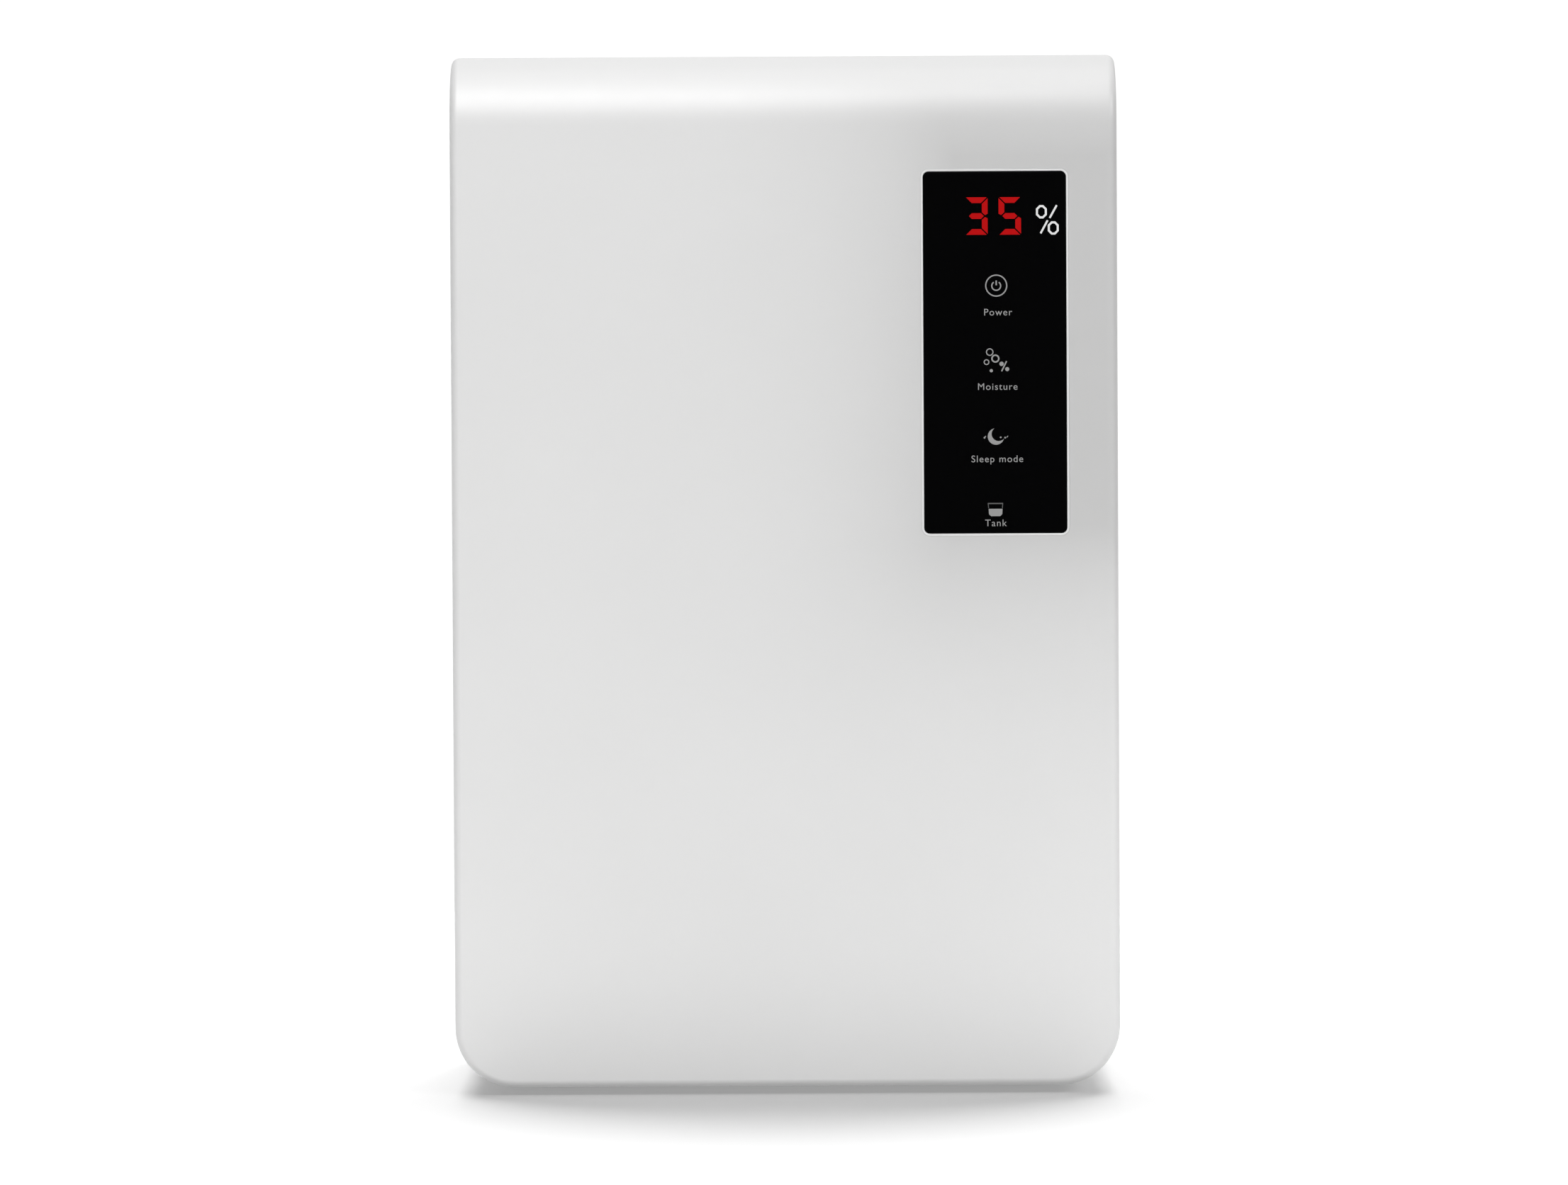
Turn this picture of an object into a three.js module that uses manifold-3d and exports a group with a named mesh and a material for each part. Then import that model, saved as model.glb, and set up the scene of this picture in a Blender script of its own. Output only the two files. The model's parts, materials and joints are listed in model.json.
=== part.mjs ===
// Desktop thermoelectric dehumidifier, in millimetres, +Z up. The front faces -Y, and the origin is
// on the ground under the middle of the housing.
import * as THREE from 'three';
import Module from 'manifold-3d';
import { mergeVertices } from 'three/addons/utils/BufferGeometryUtils.js';

const wasm = await Module();
wasm.setup();

// ---------- driving dimensions: housing ----------
const width = 226;
const depth = 142;
const height = 353;
const wall = 2.5;
const gap = 0.3;
const footHeight = 2.5;

const cornerBottom = 20.5;
const cornerTop = 2.4;
const rollRadius = 24;
const rearTopRadius = 12;
const edgeRadius = 3;

const frontY = -depth / 2;
const rearY = depth / 2;
const halfWidth = width / 2;
const partingY = frontY + 25;
const innerRearY = rearY - wall;
const floorZ = footHeight + wall;

// The screw tubes that hold the two shells together, driven from behind.
const tube = { x: 104.6, z: [34, 330], radius: 4.6, headBore: 2.9, shankBore: 1.7, seat: 3 };

const foot = { x: 78, y: [-32, 54], radius: 7, height: 3.4, chamfer: 0.8 };
const base = { half: 90, front: -42, rear: 64, railX: 60, railHalf: 2 };
const outlet = {
  half: 88, front: -36, rear: 38, drop: 0.4, border: 5,
  slot: 4.2, pitch: 7.4, columns: 23, ribFront: -1, ribRear: 3,
};
const intake = {
  half: 82, bottom: 170.6, top: 296, thickness: 3.6, axisY: 68.6, clearance: 0.4,
  pin: 1.2, pinReach: 2.6, pinBore: 1.6, ear: 6,
  slot: 4, pitch: 7.6, rows: 14, firstSlot: 184, slotEnd: 74, postHalf: 3,
};
const filter = { half: 77, bottom: 180, top: 291, thickness: 3, border: 4 };

// ---------- driving dimensions: display ----------
const display = { x: 71.4, z: 251.5, width: 48.5, height: 122.7, corner: 2, rim: 0.8, bezel: 4 };
const glass = { thickness: 1.6, setBack: 0.1 };
const board = 1.6;
const displayBoardSize = { y: frontY + 11, half: 23, halfHeight: 70, postZ: 66.5, post: 3, screwBore: 1.2 };
const mask = { y: frontY + glass.setBack + glass.thickness + gap, inset: 1.6 };
const digitWindow = { x0: display.x - 12, x1: display.x + 22, z0: display.z + 38, z1: display.z + 55 };
const keys = { power: 22.6, humidity: -4, quiet: -32 };
const keyWindow = { half: 12, below: 11, above: 9 };
const tankLamp = { half: 8, z0: display.z - 57, z1: display.z - 47 };
const spring = { outer: 3.4, inner: 2.6 };

// ---------- driving dimensions: water ----------
const bay = { half: 98.5, wall: 2.2, front: -48.5, roof: 150, foot: 12 };
const tankSize = { half: 90, front: -44, rear: 57.5, bottom: 8, top: 142, wall: 2, corner: 5 };
const lid = { z: tankSize.top + gap, thickness: 2, skirt: 5, skirtWall: 1.6, play: 0.5 };
const face = { half: 95.2, top: 149.2, corner: 12, thickness: 3.2, clearance: 0.8 };
const pocket = { half: 43.2, bottom: 76.5, top: 126.5, floorY: 62, wall: 2.5 };
const handle = {
  half: 42.6, bottom: 92, top: 125.2, thickness: 3.6, axisY: 67.5, axisZ: 121.5,
  pin: 1.5, pinReach: 1.8, gripHalf: 33, gripBelow: 9, gripAbove: 8,
};
const float = { x: -60, y: -7, z: 129, pin: 1.5, reach: 33.5, droop: 25, half: 8, tall: 7 };
const drip = {
  y: 24, half: 46, front: 10, rear: 38, tall: 14, wall: 2, lift: 3,
  spout: 5, bore: 3.4, slotHalf: 16, slotDepth: 9,
};

// ---------- driving dimensions: air and heat ----------
const fanSize = { side: 92, depth: 25, bore: 43.5, hole: 41.25, hub: 19, blades: 7, base: 3 };
const deck = { z: 299.5, half: 109, front: -56, rear: 62 };
const fanBaseZ = deck.z + wall + gap;
const peltier = { z: 217, side: 40, y0: 4.3, y1: 7.7 };
const sinkScrewX = 30;
const coldSinkSize = { half: 38, tip: 34, fins: 16, fin: 1.2, below: 45, above: 45 };
const hotSinkSize = { half: 48, tip: -36, fins: 17, fin: 1.4, below: 52, above: 53 };
const gasket = { half: 46, halfHeight: 49 };
const divider = {
  half: 108, y0: 4.8, y1: 7.2, ventX: [-100, 55], vent: 45, ventHeight: 8, firstVent: 180, pitch: 14, rows: 7,
};

// ---------- driving dimensions: electrics ----------
const mainBoardSize = { y: -58, x0: -82, x1: 0, z0: 40, z1: 106, screws: [[-78, 44], [-4, 102]] };
const jack = { x: 98, z: 160, half: 5, front: 57, collar: 4.1, bore: 3.2, pin: 1, hole: 4.5 };
const powerRoute = [[98, 56.4, 160], [98, 40, 159], [97, 6, 158], [97, -46, 158], [90, -58, 146],
  [60, -62, 124], [20, -62, 112], [-17, -61, 103]];
const fanRoute = [[-40, -46.6, 318], [-44, -54, 314], [-52, -61, 300], [-56, -62, 240], [-58, -62, 160],
  [-58, -61, 99]];
const peltierRoute = (x) => [[x, 6, peltier.z - 21], [x, 6, 168], [x, 2, 159], [x, -16, 157], [x, -44, 157],
  [x - 12, -58, 148], [x - 28, -62, 124], [x - 32, -62, 68]];
const wire = { power: 1.6, fan: 1.2, peltier: 0.9, apart: 2.6, steps: 26 };

// ---------- finishes ----------
function finish(color, roughness, metalness = 0) {
  return new THREE.MeshStandardMaterial({ color, roughness, metalness });
}

const whitePlastic = finish(0xe9e9e8, 0.42);
const greyPlastic = finish(0x8b8f92, 0.5);
const blackPlastic = finish(0x1d1e20, 0.5);
const blackGlass = finish(0x050506, 0.08);
const clearPlastic = finish(0xb9c6cc, 0.2);
const circuitGreen = finish(0x1f5b3a, 0.5);
const aluminium = finish(0xc3c6c8, 0.35, 1);
const steel = finish(0xa4a6a8, 0.3, 1);
const copper = finish(0xb87345, 0.35, 1);
const ceramic = finish(0xf1efe8, 0.5);
const foam = finish(0x2f3133, 0.9);
const rubber = finish(0x26282a, 0.85);
const redWire = finish(0xb3201c, 0.5);
const blackWire = finish(0x17181a, 0.5);

// ---------- solids ----------
const far = 400;
const degrees = Math.PI / 180;
const acrossWidth = new THREE.Matrix4().makeBasis(
  new THREE.Vector3(0, 1, 0), new THREE.Vector3(0, 0, 1), new THREE.Vector3(1, 0, 0));
const towardsFront = new THREE.Matrix4().makeBasis(
  new THREE.Vector3(1, 0, 0), new THREE.Vector3(0, 0, 1), new THREE.Vector3(0, -1, 0));

function solid(geometry) {
  const bare = geometry.clone();
  bare.deleteAttribute('normal');
  bare.deleteAttribute('uv');
  const merged = mergeVertices(bare, 1e-4);
  const vertProperties = new Float32Array(merged.attributes.position.array);
  const triVerts = new Uint32Array(merged.index.array);
  return new wasm.Manifold(new wasm.Mesh({ numProp: 3, vertProperties, triVerts }));
}

function piece(name, shape, material) {
  const { vertProperties, triVerts } = shape.getMesh();
  const geometry = new THREE.BufferGeometry();
  geometry.setAttribute('position', new THREE.BufferAttribute(vertProperties, 3));
  geometry.setIndex(new THREE.BufferAttribute(triVerts, 1));
  geometry.computeVertexNormals();
  const mesh = new THREE.Mesh(geometry, material);
  mesh.name = name;
  return mesh;
}

function box(x0, x1, y0, y1, z0, z1) {
  const geometry = new THREE.BoxGeometry(x1 - x0, y1 - y0, z1 - z0);
  return solid(geometry.translate((x0 + x1) / 2, (y0 + y1) / 2, (z0 + z1) / 2));
}

// A round rod from one point, along one axis, with its length signed.
function rod(radius, axis, from, length, sides = 14) {
  const geometry = new THREE.CylinderGeometry(radius, radius, Math.abs(length), sides);
  geometry.translate(0, length / 2, 0);
  if (axis === 'x') geometry.rotateZ(-90 * degrees);
  if (axis === 'z') geometry.rotateX(90 * degrees);
  return solid(geometry.translate(...from));
}

function ring(outer, inner, axis, from, length, sides = 14) {
  return rod(outer, axis, from, length, sides).subtract(rod(inner, axis, from, length, sides));
}

// A profile of [radius, height] points turned about the vertical axis.
function lathe(profile, sides) {
  const points = profile.map(([radius, z]) => new THREE.Vector2(radius, z));
  return solid(new THREE.LatheGeometry(points, sides).rotateX(90 * degrees));
}

function join(...parts) {
  return parts.reduce((whole, part) => whole.add(part));
}

function cut(whole, ...parts) {
  return parts.reduce((rest, part) => rest.subtract(part), whole);
}

// A rectangle whose four corners have their own radii: lower left, lower right, upper right, upper left.
function roundedRect(u0, u1, v0, v1, [r0, r1, r2, r3], Kind = THREE.Shape) {
  const outline = new Kind();
  outline.moveTo(u0 + r0, v0);
  outline.lineTo(u1 - r1, v0);
  if (r1 > 0) outline.absarc(u1 - r1, v0 + r1, r1, -90 * degrees, 0, false);
  outline.lineTo(u1, v1 - r2);
  if (r2 > 0) outline.absarc(u1 - r2, v1 - r2, r2, 0, 90 * degrees, false);
  outline.lineTo(u0 + r3, v1);
  if (r3 > 0) outline.absarc(u0 + r3, v1 - r3, r3, 90 * degrees, 180 * degrees, false);
  if (r0 > 0) {
    outline.lineTo(u0, v0 + r0);
    outline.absarc(u0 + r0, v0 + r0, r0, 180 * degrees, 270 * degrees, false);
  }
  return outline;
}

function extrusion(outline, length, curveSegments = 3) {
  return new THREE.ExtrudeGeometry(outline, { depth: length, bevelEnabled: false, curveSegments });
}

// An outline seen from the front, filling y0 to y1.
function frontPlate(outline, y0, y1, curveSegments) {
  return solid(extrusion(outline, y1 - y0, curveSegments).applyMatrix4(towardsFront).translate(0, y1, 0));
}

// An outline seen from above, filling z0 to z1.
function flatPlate(outline, z0, z1, curveSegments) {
  return solid(extrusion(outline, z1 - z0, curveSegments).translate(0, 0, z0));
}

// The starts and ends of a row of equal stretches.
function spans(first, pitch, count, size) {
  return Array.from({ length: count }, (_, i) => [first + i * pitch, first + i * pitch + size]);
}

// One shape for each corner of a rectangle of places.
function atCorners(halfU, halfV, make) {
  return [-halfU, halfU].flatMap((u) => [-halfV, halfV].map((v) => make(u, v)));
}

function lead(points, radius) {
  const route = new THREE.CatmullRomCurve3(points.map((point) => new THREE.Vector3(...point)));
  const section = new THREE.Shape();
  for (let i = 0; i < 8; i += 1) {
    const turn = i * 45 * degrees;
    const step = i === 0 ? 'moveTo' : 'lineTo';
    section[step](radius * Math.cos(turn), radius * Math.sin(turn));
  }
  const options = { steps: wire.steps, extrudePath: route, bevelEnabled: false };
  return solid(new THREE.ExtrudeGeometry(section, options));
}

function screw(headRadius, headHeight, shankRadius, shankLength) {
  return lathe([[0, -shankLength], [shankRadius, -shankLength], [shankRadius, 0], [headRadius, 0],
    [headRadius, headHeight * 0.6], [headRadius * 0.7, headHeight], [0, headHeight]], 10);
}

// ---------- housing ----------
// The housing's outer form, drawn in by `inset` all round: its front outline crossed with its side profile.
function envelope(inset) {
  const low = footHeight + inset;
  const high = height - inset;
  const round = (radius) => Math.max(radius - inset, 0.2);
  const outline = roundedRect(-halfWidth + inset, halfWidth - inset, low, high,
    [round(cornerBottom), round(cornerBottom), round(cornerTop), round(cornerTop)]);
  const profile = roundedRect(frontY + inset, rearY - inset, low, high,
    [round(edgeRadius), round(edgeRadius), round(rearTopRadius), round(rollRadius)]);
  const along = extrusion(outline, 2 * far, 5).applyMatrix4(towardsFront).translate(0, far, 0);
  const across = extrusion(profile, 2 * far, 5).applyMatrix4(acrossWidth).translate(-far, 0, 0);
  return solid(along).intersect(solid(across));
}

const shell = envelope(0).subtract(envelope(wall));

function displayOutline(grow, Kind) {
  const half = display.width / 2 + grow;
  const halfHeight = display.height / 2 + grow;
  const radius = display.corner + grow;
  return roundedRect(display.x - half, display.x + half, display.z - halfHeight, display.z + halfHeight,
    [radius, radius, radius, radius], Kind);
}

function frontPanel() {
  let panel = shell.intersect(box(-far, far, -far, partingY, -far, far));
  const start = frontY + 1;
  for (const x of [-tube.x, tube.x]) {
    for (const z of tube.z) {
      panel = panel.add(ring(tube.radius, tube.shankBore, 'y', [x, start, z], partingY - gap - start));
    }
  }
  const { post, screwBore, postZ, y } = displayBoardSize;
  for (const z of [display.z - postZ, display.z + postZ]) {
    panel = panel.add(ring(post, screwBore, 'y', [display.x, start, z], y - gap - start));
  }
  return panel.subtract(frontPlate(displayOutline(display.rim + 2 * gap), frontY - 1, frontY + wall + 1));
}

function rearHousing() {
  let housing = shell.intersect(box(-far, far, partingY + gap, far, -far, far));
  for (const x of [-intake.half - intake.ear, intake.half]) {
    housing = housing.add(box(x, x + intake.ear, innerRearY - 3, rearY - 0.5,
      intake.bottom - 4, intake.bottom + 7));
  }
  for (const x of [-tube.x, tube.x]) {
    for (const z of tube.z) {
      housing = cut(housing.add(rod(tube.radius, 'y', [x, partingY + gap, z], innerRearY - partingY)),
        rod(tube.headBore, 'y', [x, partingY + tube.seat, z], depth),
        rod(tube.shankBore, 'y', [x, partingY - 1, z], tube.seat + 2));
    }
  }
  const mouthHalf = face.half + face.clearance;
  const mouth = roundedRect(-mouthHalf, mouthHalf, tankSize.bottom - 0.5, bay.roof,
    [face.corner, face.corner, 2, 2]);
  const pinZ = intake.bottom + intake.clearance + intake.thickness / 2;
  const pinEnd = intake.half + intake.pinReach + 2 * intake.clearance;
  return cut(housing,
    frontPlate(mouth, innerRearY - 2, rearY + 1, 4),
    box(-intake.half, intake.half, innerRearY - 4, rearY + 1, intake.bottom, intake.top),
    rod(intake.pinBore, 'x', [-pinEnd, intake.axisY, pinZ], 2 * pinEnd),
    box(-outlet.half, outlet.half, outlet.front, outlet.rear, height - 2 * wall, height + 1),
    box(-base.half - 0.5, base.half + 0.5, base.front - 0.5, base.rear + 0.5, 0, floorZ + 0.5),
    rod(jack.hole, 'y', [jack.x, innerRearY - 1, jack.z], 2 * wall));
}

function basePlate() {
  let plate = box(-base.half, base.half, base.front, base.rear, footHeight, floorZ);
  for (const x of [-base.railX, base.railX]) {
    plate = plate.add(box(x - base.railHalf, x + base.railHalf, base.front + 2, base.rear - 2, floorZ,
      tankSize.bottom - gap));
  }
  const socketDepth = foot.height + gap - footHeight + 1;
  for (const x of [-foot.x, foot.x]) {
    for (const y of foot.y) {
      plate = plate.subtract(rod(foot.radius + gap, 'z', [x, y, footHeight - 1], socketDepth));
    }
  }
  return plate;
}

function rubberFoot() {
  const { radius, chamfer } = foot;
  return lathe([[0, 0], [radius - chamfer, 0], [radius, chamfer], [radius, foot.height], [0, foot.height]], 16);
}

function topGrille() {
  const z1 = height - outlet.drop;
  const x = outlet.half - gap;
  let grille = box(-x, x, outlet.front + gap, outlet.rear - gap, z1 - wall, z1);
  const columns = spans(-outlet.half + outlet.border + 0.4, outlet.pitch, outlet.columns, outlet.slot);
  for (const [x0, x1] of columns) {
    grille = cut(grille,
      box(x0, x1, outlet.front + outlet.border, outlet.ribFront, 0, height),
      box(x0, x1, outlet.ribRear, outlet.rear - outlet.border, 0, height));
  }
  return grille;
}

function intakeGrille() {
  const edge = intake.half - intake.clearance;
  const half = intake.thickness / 2;
  const axisZ = intake.bottom + intake.clearance + half;
  const outline = roundedRect(-edge, edge, axisZ, intake.top - intake.clearance, [0, 0, 3, 3]);
  let grille = frontPlate(outline, intake.axisY - half, intake.axisY + half);
  for (const [z0, z1] of spans(intake.firstSlot, intake.pitch, intake.rows, intake.slot)) {
    grille = cut(grille,
      box(-intake.slotEnd, -intake.postHalf, 0, rearY, z0, z1),
      box(intake.postHalf, intake.slotEnd, 0, rearY, z0, z1));
  }
  const pinEnd = edge + intake.pinReach;
  return join(grille,
    rod(half, 'x', [-edge, intake.axisY, axisZ], 2 * edge),
    rod(intake.pin, 'x', [-pinEnd, intake.axisY, axisZ], 2 * pinEnd, 12));
}

function airFilter() {
  const { half, bottom, top, border } = filter;
  const y1 = intake.axisY - intake.thickness / 2 - gap;
  const y0 = y1 - filter.thickness;
  const frame = box(-half, half, y0, y1, bottom, top)
    .subtract(box(-half + border, half - border, y0 - 1, y1 + 1, bottom + border, top - border));
  const edge = border - 1;
  const screen = box(-half + edge, half - edge, y0 + 1, y1 - 1, bottom + edge, top - edge);
  return join(frame, screen, box(-1.5, 1.5, y0, y1, bottom + 2, top - 2));
}

// ---------- display ----------
function displayBezel() {
  const outline = displayOutline(display.rim + gap);
  outline.holes.push(displayOutline(gap, THREE.Path));
  return frontPlate(outline, frontY, frontY + display.bezel);
}

function displayGlass() {
  const front = frontY + glass.setBack;
  return frontPlate(displayOutline(0), front, front + glass.thickness);
}

function lightMask() {
  const half = display.width / 2 - mask.inset;
  const halfHeight = display.height / 2 - mask.inset;
  const body = box(display.x - half, display.x + half, mask.y, displayBoardSize.y - gap,
    display.z - halfHeight, display.z + halfHeight);
  const windows = Object.values(keys).map((z) => box(display.x - keyWindow.half, display.x + keyWindow.half,
    -far, 0, display.z + z - keyWindow.below, display.z + z + keyWindow.above));
  return cut(body, ...windows,
    box(digitWindow.x0, digitWindow.x1, -far, 0, digitWindow.z0, digitWindow.z1),
    box(display.x - tankLamp.half, display.x + tankLamp.half, -far, 0, tankLamp.z0, tankLamp.z1));
}

function digitModule() {
  const { x0, x1, z0, z1 } = digitWindow;
  return box(x0 + 0.5, x1 - 0.5, mask.y + 0.2, displayBoardSize.y - gap, z0 + 0.5, z1 - 0.5);
}

function displayBoard() {
  const { x, z } = display;
  const { y, half, halfHeight, postZ } = displayBoardSize;
  const back = y + board;
  const controller = box(x - 8, x + 8, back - 0.1, back + 2.4, z - 30, z - 14);
  const connector = box(x - 18, x - 4, back - 0.1, back + 5, z - 58, z - 52);
  return cut(join(box(x - half, x + half, y, back, z - halfHeight, z + halfHeight), controller, connector),
    rod(1.5, 'y', [x, y - 1, z - postZ], 4), rod(1.5, 'y', [x, y - 1, z + postZ], 4));
}

function touchSpring() {
  return ring(spring.outer, spring.inner, 'y', [0, 0, 0], mask.y - 0.2 - (displayBoardSize.y - gap), 16);
}

// ---------- water ----------
function innerChassis() {
  const rear = innerRearY - 0.6;
  const top = bay.roof + 1;
  const side = (x) => box(x, x + bay.wall, bay.front, rear, bay.foot, top);
  const boardPosts = mainBoardSize.screws.map(([x, z]) => ring(3, 1.5, 'y', [x, bay.front + 1, z],
    mainBoardSize.y + board + gap - bay.front - 1));
  const chassis = join(
    box(-bay.half, bay.half, bay.front, rear, bay.roof, bay.roof + bay.wall),
    box(-bay.half, bay.half, bay.front, bay.front + bay.wall, bay.foot, top),
    side(-bay.half), side(bay.half - bay.wall), ...boardPosts);
  return chassis.subtract(rod(drip.spout + 1.6, 'z', [0, drip.y, bay.roof - 2], 2 * wall + 3));
}

function tankBucket() {
  const { half, front, rear, bottom, top, corner } = tankSize;
  const inner = corner - tankSize.wall;
  const outerForm = roundedRect(-half, half, bottom, top, [corner, corner, 0, 0]);
  const innerForm = roundedRect(-half + tankSize.wall, half - tankSize.wall, bottom + tankSize.wall, top + 5,
    [inner, inner, 0, 0]);
  return frontPlate(outerForm, front, rear)
    .subtract(frontPlate(innerForm, front + tankSize.wall, rear - tankSize.wall));
}

function tankLid() {
  const z1 = lid.z + lid.thickness;
  const inset = tankSize.wall + lid.play;
  const x1 = tankSize.half - inset;
  const y0 = tankSize.front + inset;
  const y1 = tankSize.rear - inset;
  const skirt = box(-x1, x1, y0, y1, lid.z - lid.skirt, lid.z + 1).subtract(box(-x1 + lid.skirtWall,
    x1 - lid.skirtWall, y0 + lid.skirtWall, y1 - lid.skirtWall, 0, z1));
  const lug = (x) => box(x, x + 3, float.y - 5, float.y + 5, float.z - 4, lid.z + 1);
  const plate = box(-tankSize.half, tankSize.half, tankSize.front, tankSize.rear, lid.z, z1);
  return cut(join(plate, skirt, lug(float.x - float.half - 3), lug(float.x + float.half)),
    rod(float.pin + gap + 0.1, 'x', [float.x - 20, float.y, float.z], 40, 16),
    box(-drip.slotHalf, drip.slotHalf, drip.y - drip.slotDepth, drip.y + drip.slotDepth, lid.z - 2, z1 + 2));
}

function tankFace() {
  const outer = pocket.half + pocket.wall;
  const outline = roundedRect(-face.half, face.half, tankSize.bottom + gap, face.top,
    [face.corner, face.corner, 2, 2]);
  const recess = box(-outer, outer, pocket.floorY - pocket.wall, rearY - 1, pocket.bottom - pocket.wall,
    pocket.top + pocket.wall);
  return cut(frontPlate(outline, rearY - face.thickness, rearY, 4).add(recess),
    box(-pocket.half, pocket.half, pocket.floorY, far, pocket.bottom, pocket.top),
    rod(handle.pin + 0.4, 'x', [-outer + 0.6, handle.axisY, handle.axisZ], 2 * outer - 1.2, 16));
}

function tankHandle() {
  const outline = roundedRect(-handle.half, handle.half, handle.bottom, handle.top, [8, 8, 1, 1]);
  outline.holes.push(roundedRect(-handle.gripHalf, handle.gripHalf, handle.bottom + handle.gripBelow,
    handle.top - handle.gripAbove, [4, 4, 2, 2], THREE.Path));
  const half = handle.thickness / 2;
  const pinEnd = handle.half + handle.pinReach;
  const pins = rod(handle.pin, 'x', [-pinEnd, handle.axisY, handle.axisZ], 2 * pinEnd, 12)
    .subtract(box(-30, 30, -far, far, -far, far));
  return frontPlate(outline, handle.axisY - half, handle.axisY + half).add(pins);
}

// The float arm is drawn level, with its pivot at the origin, and its group lets it droop.
function floatArm() {
  const buoy = box(-float.half, float.half, -float.reach, -13, -float.tall, float.tall)
    .subtract(rod(3.4, 'y', [0, -float.reach - 1, 0], 4));
  return join(buoy, box(-3, 3, -14, 0, -2.2, 2.2),
    rod(float.pin, 'x', [-10.6, 0, 0], 21.2, 12), rod(3.2, 'x', [-3, 0, 0], 6, 16));
}

function floatMagnet() {
  return rod(3, 'y', [0, -float.reach + 0.2, 0], 2.4, 16);
}

function levelSensor() {
  return box(float.x - 7, float.x + 7, bay.front - 5.3, bay.front - gap, float.z - 5, float.z + 5);
}

function dripTray() {
  const z0 = bay.roof + bay.wall + drip.lift;
  const { half, front, rear } = drip;
  return cut(
    join(box(-half, half, front, rear, z0, z0 + drip.tall), rod(drip.spout, 'z', [0, drip.y, z0 + 1], -10)),
    box(-half + drip.wall, half - drip.wall, front + drip.wall, rear - drip.wall, z0 + drip.wall, z0 + 20),
    rod(drip.bore, 'z', [0, drip.y, z0 + 4], -20));
}

// ---------- air and heat ----------
// A flat back with straight fins, seen from above.
function comb({ half, tip, fins, fin, below, above }, baseY) {
  const root = baseY + Math.sign(tip - baseY) * 4;
  const pitch = (2 * half - fin) / (fins - 1);
  const outline = new THREE.Shape();
  outline.moveTo(-half, baseY);
  outline.lineTo(half, baseY);
  for (let i = fins - 1; i >= 0; i -= 1) {
    const x = -half + i * pitch;
    outline.lineTo(x + fin, tip);
    outline.lineTo(x, tip);
    if (i > 0) {
      outline.lineTo(x, root);
      outline.lineTo(x - pitch + fin, root);
    }
  }
  return flatPlate(outline, peltier.z - below, peltier.z + above);
}

function drilledForScrews(shape, radius, fromY) {
  return cut(shape, ...[-sinkScrewX, sinkScrewX].map((x) => rod(radius, 'y', [x, fromY, peltier.z], 120, 12)));
}

function coldSink() {
  const sink = comb(coldSinkSize, peltier.y1 + gap);
  return drilledForScrews(drilledForScrews(sink, 2, -60), 4.2, peltier.y1 + gap + 4);
}

function hotSink() {
  return drilledForScrews(comb(hotSinkSize, peltier.y0 - gap), 2, -60);
}

function peltierModule() {
  const half = peltier.side / 2;
  return box(-half, half, peltier.y0 + gap, peltier.y1 - gap, peltier.z - half, peltier.z + half);
}

function sinkGasket() {
  const reach = peltier.side / 2 + 2 * gap;
  const { half, halfHeight } = gasket;
  const sheet = box(-half, half, peltier.y0, peltier.y1, peltier.z - halfHeight, peltier.z + halfHeight);
  return cut(drilledForScrews(sheet, 2, -60),
    box(-reach, reach, 0, far, peltier.z - reach, peltier.z + reach),
    box(-5.5, 5.5, 0, far, 0, peltier.z));
}

function airDivider() {
  const around = 2 * gap;
  const rows = spans(divider.firstVent, divider.pitch, divider.rows, divider.ventHeight);
  const openings = divider.ventX.flatMap((x) => (
    rows.map(([z0, z1]) => box(x, x + divider.vent, 0, far, z0, z1))));
  return cut(
    box(-divider.half, divider.half, divider.y0, divider.y1, bay.roof + bay.wall + gap, deck.z - gap),
    box(-gasket.half - around, gasket.half + around, 0, far,
      peltier.z - gasket.halfHeight - around, peltier.z + gasket.halfHeight + around),
    box(-7, 7, 0, far, 0, peltier.z),
    box(jack.x - 5, jack.x + 5, 0, far, 0, jack.z + 5),
    ...openings);
}

function fanDeck() {
  const { hole, bore } = fanSize;
  return cut(box(-deck.half, deck.half, deck.front, deck.rear, deck.z, deck.z + wall),
    rod(bore, 'z', [0, 0, 0], far, 36),
    ...atCorners(hole, hole, (x, y) => rod(2.1, 'z', [x, y, 0], far, 12)));
}

function fanFrame() {
  const { side, hole, bore, hub } = fanSize;
  const half = side / 2;
  const outline = roundedRect(-half, half, -half, half, [4, 4, 4, 4]);
  const frame = cut(flatPlate(outline, 0, fanSize.depth), rod(bore, 'z', [0, 0, -1], 40, 36),
    ...atCorners(hole, hole, (x, y) => rod(2.2, 'z', [x, y, -1], 40, 12)));
  const strut = half - 1;
  return join(frame, box(-strut, strut, -2, 2, 0, fanSize.base), box(-2, 2, -strut, strut, 0, fanSize.base),
    rod(hub, 'z', [0, 0, 0], fanSize.base, 24), rod(5, 'z', [0, 0, 0], 16))
    .subtract(rod(2.3, 'z', [0, 0, fanSize.base + 0.5], 20, 14));
}

function fanStator() {
  return ring(14.5, 5.4, 'z', [0, 0, fanSize.base + 1], 12, 24);
}

function fanRotor() {
  const { hub, bore, blades, base: floor } = fanSize;
  const cup = rod(hub, 'z', [0, 0, floor + 1], 20, 24).subtract(rod(hub - 2.4, 'z', [0, 0, floor], 18, 24));
  const sweep = ring(bore - 1.2, hub - 1.5, 'z', [0, 0, floor + 1.2], 19.6, 36);
  const turned = Array.from({ length: blades }, (_, i) => {
    const blade = new THREE.BoxGeometry(30, 30, 1.6);
    blade.translate(31, 0, 0).rotateX(-38 * degrees).translate(0, 0, floor + 11);
    return solid(blade.rotateZ(i * 360 / blades * degrees)).intersect(sweep);
  });
  return join(cup, rod(1.9, 'z', [0, 0, floor + 2], 18, 12), ...turned);
}

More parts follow.
